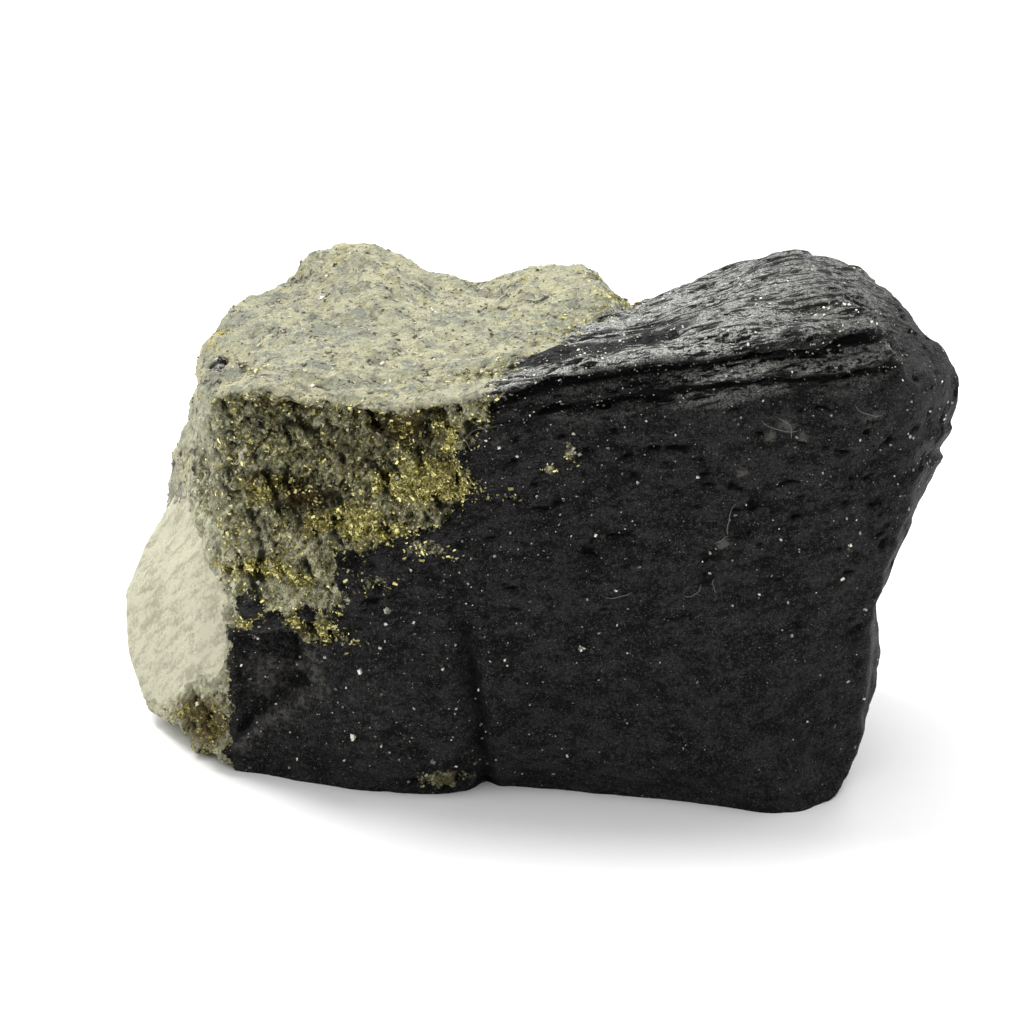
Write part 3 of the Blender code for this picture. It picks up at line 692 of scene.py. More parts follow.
class Wiring:
    """Short calls for wiring one material's nodes. Lengths in its patterns are millimetres."""

    def __init__(self, name: str) -> None:
        """Makes the material with its Principled BSDF, and object coordinates in millimetres."""
        self.material = bpy.data.materials.new(name)
        self.material.use_nodes = True
        self.nodes = self.material.node_tree.nodes
        self.links = self.material.node_tree.links
        self.shader = self.nodes["Principled BSDF"]
        place = self.nodes.new("ShaderNodeTexCoord").outputs["Object"]
        self.place = self.vector("SCALE", place, scale=1.0 / MM)

    @classmethod
    def of_tree(cls, tree: bpy.types.NodeTree) -> "Wiring":
        """The same calls for a node tree that is there already."""
        wiring = cls.__new__(cls)
        wiring.nodes, wiring.links = tree.nodes, tree.links
        return wiring

    def put(self, socket: Any, value: Any) -> None:
        """Links a socket to another's output, or sets it to a number, a colour or a vector."""
        if isinstance(value, bpy.types.NodeSocket):
            self.links.new(value, socket)
        elif isinstance(value, tuple) and socket.type == "RGBA" and len(value) == 3:
            socket.default_value = (*value, 1.0)
        else:
            socket.default_value = value

    def vector(self, operation: str, first: Any, second: Any = None, scale: float | None = None) -> Any:
        """One Vector Math node."""
        node = self.nodes.new("ShaderNodeVectorMath")
        node.operation = operation
        self.put(node.inputs[0], first)
        if second is not None:
            self.put(node.inputs[1], second)
        if scale is not None:
            node.inputs["Scale"].default_value = scale
        return node.outputs["Vector"]

    def math(self, operation: str, *values: Any) -> Any:
        """One Math node."""
        node = self.nodes.new("ShaderNodeMath")
        node.operation = operation
        for socket, value in zip(node.inputs, values):
            self.put(socket, value)
        return node.outputs["Value"]

    def sum(self, *terms: tuple[Any, float]) -> Any:
        """The sum of values, each times a number."""
        total = self.math("MULTIPLY", *terms[0])
        for value, times in terms[1:]:
            total = self.math("MULTIPLY_ADD", value, times, total)
        return total

    def between(self, value: Any, low: float, high: float, start: float = 0.0, end: float = 1.0) -> Any:
        """A smooth step of a value from low to high, carried to start and end."""
        node = self.nodes.new("ShaderNodeMapRange")
        node.interpolation_type = "SMOOTHSTEP"
        self.put(node.inputs["Value"], value)
        for name, number in (("From Min", low), ("From Max", high), ("To Min", start), ("To Max", end)):
            node.inputs[name].default_value = number
        return node.outputs["Result"]

    def attribute(self, name: str) -> Any:
        """A share written on the mesh."""
        node = self.nodes.new("ShaderNodeAttribute")
        node.attribute_name = name
        return node.outputs["Fac"]

    def parts(self, vector: Any) -> tuple[Any, Any, Any]:
        """A vector's three numbers."""
        node = self.nodes.new("ShaderNodeSeparateXYZ")
        self.put(node.inputs["Vector"], vector)
        return node.outputs[0], node.outputs[1], node.outputs[2]

    def turned(self, turn: Corner, stretch: Corner) -> Any:
        """Object coordinates turned by degrees and then divided by a length for each axis."""
        node = self.nodes.new("ShaderNodeMapping")
        node.vector_type = "TEXTURE"
        self.put(node.inputs["Vector"], self.place)
        node.inputs["Rotation"].default_value = tuple(math.radians(angle) for angle in turn)
        node.inputs["Scale"].default_value = stretch
        return node.outputs["Vector"]

    def noise(self, size: float, detail: float = 3.0, rough: float = 0.55, place: Any = None, bend: float = 0.0) -> Any:
        """A Noise Texture's value, with lumps of about that size."""
        node = self.nodes.new("ShaderNodeTexNoise")
        self.put(node.inputs["Vector"], self.place if place is None else place)
        node.inputs["Scale"].default_value = 1.0 / size
        node.inputs["Detail"].default_value = detail
        node.inputs["Roughness"].default_value = rough
        node.inputs["Distortion"].default_value = bend
        return node.outputs["Fac"]

    def bent(self, size: float, reach: float) -> Any:
        """Object coordinates pushed about by noise of that size, by up to half the reach each way."""
        node = self.nodes.new("ShaderNodeTexNoise")
        self.put(node.inputs["Vector"], self.place)
        node.inputs["Scale"].default_value = 1.0 / size
        node.inputs["Detail"].default_value = 2.0
        about = self.vector("SUBTRACT", node.outputs["Color"], (0.5, 0.5, 0.5))
        return self.vector("ADD", self.place, self.vector("SCALE", about, scale=2.0 * reach))

    def cells(self, size: float, place: Any = None, feature: str = "F1") -> tuple[Any, Any]:
        """A Voronoi Texture's distance and its colour, one for each cell."""
        node = self.nodes.new("ShaderNodeTexVoronoi")
        node.feature = feature
        self.put(node.inputs["Vector"], self.place if place is None else place)
        node.inputs["Scale"].default_value = 1.0 / size
        return node.outputs["Distance"], node.outputs["Color"]

    def channel(self, colour: Any, which: int) -> Any:
        """One of a colour's three numbers."""
        node = self.nodes.new("ShaderNodeSeparateColor")
        self.put(node.inputs["Color"], colour)
        return node.outputs[which]

    def mix(self, share: Any, first: Any, second: Any, blend: Blend = Blend.MIX) -> Any:
        """Two colours put together by a share of the second."""
        node = self.nodes.new("ShaderNodeMix")
        node.data_type = "RGBA"
        node.blend_type = blend.value
        self.put(node.inputs[0], share)
        self.put(node.inputs[6], first)
        self.put(node.inputs[7], second)
        return node.outputs[2]

    def facets(self, cell_colour: Any, lean: Any) -> Any:
        """The surface's normal leant another way in each cell, which makes flat glinting grains."""
        normal = self.nodes.new("ShaderNodeNewGeometry").outputs["Normal"]
        about = self.vector("SUBTRACT", cell_colour, (0.5, 0.5, 0.5))
        node = self.nodes.new("ShaderNodeVectorMath")
        node.operation = "SCALE"
        self.put(node.inputs[0], about)
        self.put(node.inputs["Scale"], lean)
        return self.vector("NORMALIZE", self.vector("ADD", normal, node.outputs["Vector"]))

    def bump(self, height: Any, depth: float, normal: Any = None, strength: float = 1.0) -> Any:
        """A Bump node whose height of 1 stands for that depth in millimetres."""
        node = self.nodes.new("ShaderNodeBump")
        node.inputs["Strength"].default_value = strength
        node.inputs["Distance"].default_value = depth * MM
        self.put(node.inputs["Height"], height)
        if normal is not None:
            self.put(node.inputs["Normal"], normal)
        return node.outputs["Normal"]

    def finish(self, **sockets: Any) -> Any:
        """Sets the shader's sockets, named with _ for a space, and returns the material."""
        for name, value in sockets.items():
            self.put(self.shader.inputs[name.replace("_", " ")], value)
        return self.material


@dataclass(frozen=True)
class StoneFinish:
    """The finish of the skin: dark shale, pale and olive crust, golden patches and the pale facet."""

    shale: tuple[Colour, Colour] = ((0.0085, 0.0080, 0.0085), (0.0480, 0.0455, 0.0475))
    shale_painted_sheen: tuple[Colour, Colour] = ((0.008, 0.008, 0.007), (0.98, 0.99, 0.93))
    pit_and_shade: Colour = (0.0025, 0.002, 0.0025)
    dust: Colour = (0.17, 0.165, 0.145)
    pale: tuple[Colour, Colour, Colour] = ((0.46, 0.47, 0.38), (0.68, 0.67, 0.48), (0.87, 0.84, 0.56))
    pore_shade: Colour = (0.075, 0.065, 0.030)
    fleck: Colour = (0.66, 0.57, 0.24)
    olive: tuple[Colour, Colour, Colour] = ((0.017, 0.015, 0.006), (0.37, 0.36, 0.20), (0.96, 0.95, 0.70))
    gold: tuple[Colour, Colour] = ((0.066, 0.053, 0.007), (0.82, 0.73, 0.20))
    rust: tuple[Colour, Colour] = ((0.030, 0.018, 0.004), (0.13, 0.085, 0.020))
    facet: tuple[Colour, Colour] = ((0.41, 0.395, 0.28), (0.62, 0.60, 0.45))

    def material(self) -> bpy.types.Material:
        """Wires the finish."""
        w = Wiring("stone_finish")
        crust, gold, rust, facet, top, hollow, low, dust = (
            w.attribute(name) for name in ("crust", "gold", "rust", "facet", "top", "hollow", "low", "dust")
        )
        tone = w.noise(1.7, 5.0, 0.62)
        grain = w.noise(0.22, 4.0, 0.68)
        shale, painted_sheen, lenses = self.shale_colour(w, top, low, grain)
        pale = self.pale_colour(w, tone, grain)
        olive, clots = self.olive_colour(w, rust, grain)
        crusted = w.mix(hollow, pale, olive)
        crusted = w.mix(w.math("MULTIPLY", w.math("SUBTRACT", 1.0, hollow), rust), crusted, self.rust[1])
        # gold: every small grain its own tone and lean
        grain_far, grain_cell = w.cells(0.13)
        strands = w.noise(1.0, 4.0, 0.7, w.turned((0.0, 30.0, 0.0), (0.10, 0.25, 0.50)))
        gilt = w.sum((w.channel(grain_cell, 0), 0.35), (strands, 1.0), (grain, 0.4))
        golden = w.mix(w.between(gilt, 0.77, 1.02), *self.gold)
        ragged = w.noise(0.55, 5.0, 0.75)
        gold_share = w.between(w.sum((gold, 1.0), (hollow, 0.10), (ragged, 1.7)), 1.12, 1.42)
        fringe = w.sum((w.noise(1.1, 6.0, 0.80), 1.92), (grain, 0.3))
        crust_share = w.between(w.sum((crust, 1.0), (fringe, 1.0)), 1.53, 1.67)
        crust_share = w.math("MULTIPLY", crust_share, w.between(crust, 0.02, 0.15))
        gold_share = w.math("MULTIPLY", gold_share, w.math("MAXIMUM", crust_share, gold))
        crusted = w.mix(gold_share, crusted, golden)
        # Painted shade: the crust darkened to dark olive in low places, between fibres and crumbs.
        crusted = w.mix(w.between(w.sum((low, 1.0), (grain, 0.6)), 0.45, 1.15, 0.0, 0.88), crusted, self.olive[0])
        # Pale dust smudges, and painted highlight on the chip's rim, the slope below it and its floor.
        dusty = w.between(w.sum((dust, 1.0), (w.noise(0.35, 4.0, 0.72), 1.55)), 1.02, 1.5, 0.0, 0.9)
        colour = w.mix(crust_share, w.mix(dusty, shale, self.dust), crusted)
        facet_share = w.between(w.sum((facet, 1.0), (grain, 0.6)), 0.62, 0.95)
        colour = w.mix(facet_share, colour, self.facet_colour(w, grain))
        # relief too fine for the mesh
        on_top = w.math("MULTIPLY", crust_share, w.math("SUBTRACT", 1.0, hollow))
        rough_crust = w.math("MULTIPLY", crust_share, hollow)
        flat = w.math("SUBTRACT", 1.0, w.math("MULTIPLY", facet_share, 0.75))
        crust_side = w.between(crust, 0.35, 0.65)
        height = w.math("MULTIPLY_ADD", crust_side, w.math("SUBTRACT", clots, lenses), lenses)
        height = w.sum((height, 1.5), (grain, 0.6))
        height = w.math("MULTIPLY", height, w.between(facet, 0.35, 0.65, 1.0, 0.25))
        lean = w.math("MULTIPLY", w.sum((gold_share, 1.1), (rough_crust, 0.5), (on_top, 0.2)), flat)
        normal = w.bump(height, 0.75, w.facets(grain_cell, lean))
        metal = w.math("ADD", w.math("MULTIPLY", gold_share, 0.7), w.math("MULTIPLY", rough_crust, 0.25))
        rough = w.sum((grain, 0.25), (on_top, 0.12), (gold_share, -0.16), (painted_sheen, -0.05))
        return w.finish(
            Base_Color=colour,
            Metallic=metal,
            Roughness=w.math("ADD", rough, 0.38),
            Normal=normal,
            IOR=1.19,
        )

    def shale_colour(self, w: Wiring, top: Any, low: Any, grain: Any) -> tuple[Any, Any, Any]:
        """Dark shale drawn out along its layers, with dark pits; on top a painted sheen, grey and streaked.

        Args:
            w: the material.
            top: the share of the upward faces, which get the painted sheen.
            low: the share of painted shade in low places.
            grain: fine noise.

        Returns:
            Its colour, the share of its painted sheen, and the noise of its layers.
        """
        along = w.turned((0.0, -5.0, 0.0), (1.5, 1.2, 0.75))
        bands = w.noise(1.0, 5.0, 0.72, along)
        pits = w.noise(1.0, 5.0, 0.74, w.turned((0.0, -6.0, 0.0), (0.62, 0.5, 0.25)), 0.3)
        high = w.between(w.parts(w.place)[2], 4.0, 17.0, -0.055, 0.0)
        pitted = w.between(w.math("SUBTRACT", w.sum((pits, 0.75), (bands, 0.25)), high), 0.435, 0.375)
        body = w.sum((bands, 0.45), (grain, 0.35), (w.noise(2.2, 4.0, 0.6), 0.20))
        shale = w.mix(w.between(body, 0.43, 0.57), *self.shale)
        salt = w.noise(0.085, 2.0, 0.6)
        shale = w.mix(w.between(grain, 0.56, 0.68, 0.0, 0.7), shale, (0.070, 0.069, 0.065))
        shale = w.mix(w.between(salt, 0.60, 0.70, 0.0, 0.9), shale, (0.16, 0.157, 0.140))
        shale = w.mix(w.between(salt, 0.43, 0.36, 0.0, 0.85), shale, self.pit_and_shade)
        # Painted sheen: the upward faces are painted light grey in streaks, fading towards the right end, standing in
        # for the reflection of the bright sky behind.
        lenses = w.noise(1.0, 5.0, 0.73, w.turned((0.0, -9.0, 4.0), (1.9, 0.34, 0.30)), 0.2)
        broad = w.noise(1.0, 3.0, 0.55, w.turned((0.0, -9.0, 4.0), (6.0, 1.6, 1.2)))
        lit = w.between(w.sum((lenses, 0.70), (broad, 0.30)), 0.447, 0.505)
        fade = w.between(w.parts(w.place)[0], 18.0, 8.0, 0.45, 1.0)
        lit = w.math("MULTIPLY", w.math("MULTIPLY", lit, fade), w.between(w.sum((salt, 0.6), (grain, 0.4)), 0.38, 0.62, 0.12, 1.0))
        painted_sheen = w.math("MULTIPLY", top, lit)
        shale = w.mix(top, shale, w.mix(lit, *self.shale_painted_sheen))
        # Painted shade: dark slits between the streaks of the painted sheen, and the shale's pits, in the darkest
        # colour.
        slits = w.between(w.noise(1.0, 5.0, 0.7, w.turned((0.0, -9.0, 4.0), (1.5, 0.30, 0.24)), 0.2), 0.455, 0.405)
        shale = w.mix(w.math("MAXIMUM", pitted, w.math("MULTIPLY", slits, top)), shale, self.pit_and_shade)
        # Painted shade: the shale darkened in low places: the chip, the cleft, under the ledges' lips, between slates
        # and in pits.
        shale = w.mix(w.between(w.sum((low, 1.0), (grain, 0.5)), 0.45, 1.0, 0.0, 0.9), shale, self.pit_and_shade)
        return shale, painted_sheen, lenses

    def pale_colour(self, w: Wiring, tone: Any, grain: Any) -> Any:
        """Pale crust: grey, cream and yellow patches, dark pores painted as shade in the gaps between its lumps, and a
        few yellow flecks.

        Args:
            w: the material.
            tone: broad noise.
            grain: fine noise.

        Returns:
            Its colour.
        """
        bent = w.bent(0.7, 0.9)
        lump_far, lump_cell = w.cells(0.95, bent)
        crumb_far, crumb_cell = w.cells(0.36, bent)
        patches = w.noise(4.0, 5.0, 0.65, bend=0.6)
        mottle = w.noise(0.6, 5.0, 0.72)
        cells = w.sum((w.channel(lump_cell, 0), 0.09), (w.channel(crumb_cell, 0), 0.08))
        body = w.math("ADD", cells, w.sum((tone, 0.42), (mottle, 0.22), (grain, 0.17)))
        pale = w.mix(w.between(body, 0.43, 0.50), self.pale[0], self.pale[1])
        cream = w.between(w.sum((body, 0.75), (patches, 0.25)), 0.485, 0.555)
        pale = w.mix(cream, pale, self.pale[2])
        fleck = w.between(w.channel(crumb_cell, 1), 0.86, 0.93, 0.0, 0.75)
        pale = w.mix(w.math("MULTIPLY", fleck, w.between(patches, 0.42, 0.58, 0.15, 1.0)), pale, self.fleck)
        # Painted shade: the gaps between lumps and crumbs darkened to dark olive.
        gaps = w.sum((lump_far, 0.42), (crumb_far, 0.45), (w.noise(0.30, 4.0, 0.76), -0.45))
        pores = w.math("MULTIPLY", w.between(gaps, 0.31, 0.47), w.between(tone, 0.56, 0.44, 0.12, 0.95))
        return w.mix(pores, pale, self.pore_shade)

    def olive_colour(self, w: Wiring, rust: Any, grain: Any) -> tuple[Any, Any]:
        """Olive crust in slanting fibres, with dark gaps, grey dust and brown stains.

        Args:
            w: the material.
            rust: the share of the brown stain, and of the painted shade just under the brow.
            grain: fine noise.

        Returns:
            Its colour and the noise of its clots.
        """
        fibres = w.noise(1.0, 5.0, 0.72, w.turned((0.0, 30.0, 0.0), (0.30, 0.45, 1.25)), 0.5)
        clots = w.noise(0.45, 5.0, 0.74)
        body = w.sum((fibres, 0.42), (clots, 0.42), (grain, 0.16))
        low_left = w.math("MULTIPLY", w.between(w.parts(w.place)[0], -6.0, -14.0), w.between(w.parts(w.place)[2], 17.0, 12.0))
        body = w.math("ADD", body, w.math("MULTIPLY", low_left, 0.045))
        olive = w.mix(w.between(body, 0.43, 0.51), self.olive[0], self.olive[1])
        olive = w.mix(w.between(body, 0.51, 0.57), olive, self.olive[2])
        stain = w.mix(w.between(body, 0.46, 0.54), *self.rust)
        olive = w.mix(w.between(w.sum((rust, 1.0), (clots, 1.0)), 0.62, 1.05, 0.0, 0.92), olive, stain)
        return olive, clots

    def facet_colour(self, w: Wiring, grain: Any) -> Any:
        """The pale facet, with faint streaks that rise away from the show side."""
        lines = w.noise(1.0, 4.0, 0.65, w.turned((42.0, 0.0, 0.0), (1.0, 0.42, 3.2)))
        body = w.mix(w.between(w.sum((lines, 0.65), (grain, 0.35)), 0.40, 0.56), *self.facet)
        return w.mix(w.between(w.noise(0.6, 5.0, 0.74), 0.57, 0.70, 0.0, 0.55), body, self.pale[0])


# ---------------------------------------------------------------------------------------------------------------
# Pieces
# ---------------------------------------------------------------------------------------------------------------


def make_mesh(name: str, points: Array, faces: Array, shares: dict[str, Array], smooth: bool) -> bpy.types.Object:
    """Puts a surface into a mesh at the origin and makes it ride on the stone's body.

    Args:
        name: the piece's name.
        points: in the drawing's place, in millimetres.
        faces: point numbers, as many in each face.
        shares: values to write on the points, by name.
        smooth: whether its faces are shaded smooth.

    Returns:
        The object.
    """
    mesh = bpy.data.meshes.new(name)
    corners = faces.shape[1]
    mesh.vertices.add(len(points))
    mesh.vertices.foreach_set("co", ((points - StoneForm().middle) * MM).astype(np.float32).ravel())
    mesh.loops.add(faces.size)
    mesh.loops.foreach_set("vertex_index", faces.astype(np.int32).ravel())
    mesh.polygons.add(len(faces))
    mesh.polygons.foreach_set("loop_start", np.arange(0, faces.size, corners, dtype=np.int32))
    mesh.polygons.foreach_set("use_smooth", np.full(len(faces), smooth))
    mesh.update(calc_edges=True)
    for share_name, values in shares.items():
        written = mesh.attributes.new(share_name, "FLOAT", "POINT")
        written.data.foreach_set("value", values.astype(np.float32))
    piece = bpy.data.objects.new(name, mesh)
    bpy.context.scene.collection.objects.link(piece)
    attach(piece, BODY)
    return piece


def within_box(points: Array, margin: float) -> Array:
    """Points of the drawing held inside the solid's box, less a margin everywhere but underneath."""
    middle = np.array(StoneForm().middle)
    low, high = (np.array(corner) / MM + middle for corner in CAD_BOX)
    return np.clip(points, low + margin * np.array((1.0, 1.0, 0.0)), high - margin)


def face_normals(points: Array, faces: Array) -> Array:
    """The cross product of each face's diagonals, whose length is twice its area."""
    a, b, c, d = (points[faces[:, n]] for n in range(4))
    return np.cross(c - a, d - b)


def point_normals(points: Array, faces: Array) -> Array:
    """The sum of the normals of the faces round each point, at length 1."""
    crossed = face_normals(points, faces)
    total = np.zeros_like(points)
    for corner in range(4):
        for axis in range(3):
            total[:, axis] += np.bincount(faces[:, corner], crossed[:, axis], len(points))
    return unit(total)


@dataclass
class StoneSkin:
    """The stone's whole skin at a fine pitch, with the relief that its solid is too coarse for.

    Attributes:
        fibre_height: relief of the slanting fibres of the hollow.
        grit_height: relief of the crust.
        flake_height: relief of the thin flakes of the dark top.
        ripple_height: relief of the dark face.
        slate_height: relief of the thin layers along the brow.
    """

    form: StoneForm = field(default_factory=StoneForm)
    zones: Zones = field(default_factory=Zones)
    finish: StoneFinish = field(default_factory=StoneFinish)
    fibre_height: float = 0.42
    grit_height: float = 0.24
    flake_height: float = 0.28
    ripple_height: float = 0.09
    slate_height: float = 0.30
    points: Array = field(init=False)
    faces: Array = field(init=False)
    normals: Array = field(init=False)
    shares: dict[str, Array] = field(init=False)

    def fine_relief(self, points: Array, shares: dict[str, Array]) -> Array:
        """The fine relief of each kind of surface.

        The hollow has noise drawn out along a slant. The dark top has flakes: noise that varies fastest away from
        the show side, cut into saw teeth that rise away and drop towards it. The crust has fine lumps and the dark
        face has noise drawn out level.

        Args:
            points: in the drawing's place.
            shares: the kinds of surface at the points, which gains the share of painted shade in low places.

        Returns:
            Heights in millimetres along the normals.
        """
        across, away, up = points.T
        slant = math.radians(30.0)
        along = math.sin(slant) * across - math.cos(slant) * up
        over = math.cos(slant) * across + math.sin(slant) * up
        fibres = Roughness((1.9, 0.5, 0.8), 61, 3).at(np.stack([along, over, away], axis=1))
        clots = Roughness(0.85, 65, 3).at(points)
        bend = 1.1 * Roughness((5.0, 2.5, 3.0), 71, 2).at(points)
        tooth = away / 0.85 + 0.08 * across + bend
        tooth = tooth - np.floor(tooth)
        flakes = smooth_step(tooth / 0.3) - tooth
        broken = smooth_step(0.5 + 1.6 * Roughness((3.0, 1.0, 2.0), 81, 2).at(points))
        ripples = Roughness((3.0, 1.6, 0.9), 91, 3).at(points)
        pits = np.minimum(Roughness((1.2, 0.7, 0.45), 95, 3).at(points) + 0.42, 0.0)
        pits *= 0.25 + 0.75 * smooth_step((up - 7.0) / 8.0)
        grit = Roughness(0.8, 101, 3).at(points)
        slates = Roughness((3.6, 1.4, 0.5), 111, 3).at(points - np.outer(across, (0.0, 0.0, 0.10)))
        dark = (1.0 - shares["crust"]) * (1.0 - shares["facet"])
        mossy = 1.0 * fibres + 0.7 * clots - 0.4 * np.abs(Roughness(0.75, 121, 2).at(points))
        crumbs = 0.6 * grit + 0.8 * Roughness(1.9, 131, 3).at(points)
        on_top = shares["crust"] * (1.0 - 0.85 * shares["facet"]) * (1.0 - shares["hollow"])
        # Painted shade: the low share gains the gaps between the hollow's fibres and the crust's crumbs, between the
        # slates of the ledges, and the shale's pits.
        shares["low"] += smooth_step(-0.05 - 1.0 * mossy) * shares["hollow"] + smooth_step(-0.25 - crumbs) * on_top
        shares["low"] += smooth_step(-0.15 - 1.2 * slates) * shares["ledge"] + 0.75 * smooth_step(-4.0 * pits) * dark
        return (
            self.fibre_height * mossy * shares["hollow"]
            + self.flake_height * flakes * broken * shares["top"] * dark
            + self.ripple_height * (ripples + 6.0 * pits) * dark * (1.0 - shares["top"])
            + self.slate_height * slates * dark * shares["ledge"]
            + self.grit_height * crumbs * on_top
        )

    def build(self) -> bpy.types.Object:
        """Builds the skin, flattens what rests, and dresses it."""
        points, faces = self.form.skin()
        normals = point_normals(points, faces)
        shares = self.zones.shares(points, normals, self.form.cuts.brow_height(points[:, 0]))
        points = points + normals * self.fine_relief(points, shares)[:, None]
        points = within_box(points, 0.06)
        self.points, self.faces, self.shares = points, faces, shares
        self.normals = point_normals(points, faces)
        piece = make_mesh("stone_skin", points, faces, shares, smooth=True)
        piece.data.materials.append(self.finish.material())
        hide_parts(NODE)
        return piece


@dataclass(frozen=True)
class PyriteFinish:
    """The finish of the loose-looking grains: every grain has its own tone, from brown to bright gold."""

    name: str
    dull: Colour
    bright: Colour
    metallic: float
    roughness: float

    def material(self) -> bpy.types.Material:
        """Wires the finish."""
        w = Wiring(self.name)
        tone = w.attribute("tone")
        stain = w.noise(0.12, 3.0, 0.6)
        colour = w.mix(tone, self.dull, self.bright)
        colour = w.mix(w.between(stain, 0.52, 0.70, 0.0, 0.5), colour, self.dull)
        rough = w.sum((stain, 0.3), (tone, -0.15))
        return w.finish(
            Base_Color=colour,
            Metallic=self.metallic,
            Roughness=w.math("ADD", rough, self.roughness),
            Normal=w.bump(stain, 0.02),
        )


@dataclass(frozen=True)
class Grains:
    """Many small angular grains, each a box with its corners knocked about, half sunk in the skin.

    Attributes:
        name: the piece's name.
        count: how many grains.
        size: the middle size of a grain, its half width in millimetres.
        spread: how much the sizes vary, as the spread of their logarithms.
        shape: half length, half width and half height, for a size of 1.
        lift: how far a grain's middle stands off the skin, for a size of 1.
        tilt: how far grains lean from the skin.
        seed: which of many sets of places.
        where: gives each place's weight from the skin's shares.
    """

    name: str
    count: int
    size: float
    spread: float
    shape: Corner
    lift: float
    tilt: float
    seed: int
    finish: PyriteFinish
    where: Callable[[dict[str, Array], Array, Array], Array]

    def build(self, skin: StoneSkin) -> bpy.types.Object:
        """Scatters the grains over the skin.

        Faces of the skin are drawn by area times weight, and a place in each. A grain's axes are the skin's
        normal leant at random and two more square to it, turned at random about it.

        Args:
            skin: the built skin.

        Returns:
            The object.
        """
        draw = np.random.default_rng(self.seed)
        faces = skin.faces
        middle = skin.points[faces].mean(axis=1)
        crossed = face_normals(skin.points, faces)
        shares = {name: values[faces].mean(axis=1) for name, values in skin.shares.items()}
        weight = self.where(shares, middle, unit(crossed)) * np.linalg.norm(crossed, axis=1)
        chosen = draw.choice(len(faces), self.count, p=weight / weight.sum())
        ways = draw.random((self.count, 2))
        corner = skin.points[faces[chosen]]
        one_side = corner[:, 0] * (1 - ways[:, :1]) + corner[:, 1] * ways[:, :1]
        other_side = corner[:, 3] * (1 - ways[:, :1]) + corner[:, 2] * ways[:, :1]
        place = one_side * (1 - ways[:, 1:]) + other_side * ways[:, 1:]
        up = unit(unit(crossed[chosen]) + self.tilt * draw.normal(size=(self.count, 3)))
        first = unit(np.cross(up, draw.normal(size=(self.count, 3))))
        axes = np.stack([first, np.cross(up, first), up], axis=1)
        size = self.size * np.exp(self.spread * np.clip(draw.normal(size=self.count), -2.0, 2.0))
        box = np.array([(x, y, z) for z in (-1, 1) for y in (-1, 1) for x in (-1, 1)], dtype=float)
        knocked = box + 0.38 * draw.uniform(-1, 1, (self.count, 8, 3))
        local = knocked * self.shape * size[:, None, None]
        local[..., 2] += (self.lift * size)[:, None]
        points = place[:, None] + np.einsum("gvk,gkx->gvx", local, axes)
        points = within_box(points, 0.01)
        sides = np.array([(0, 2, 3, 1), (4, 5, 7, 6), (0, 1, 5, 4), (2, 6, 7, 3), (0, 4, 6, 2), (1, 3, 7, 5)])
        grain_faces = (np.arange(self.count)[:, None, None] * 8 + sides).reshape(-1, 4)
        tone = np.repeat(draw.random(self.count) ** 1.4, 8)
        piece = make_mesh(self.name, points.reshape(-1, 3), grain_faces, {"tone": tone}, smooth=False)
        piece.data.materials.append(self.finish.material())
        return piece


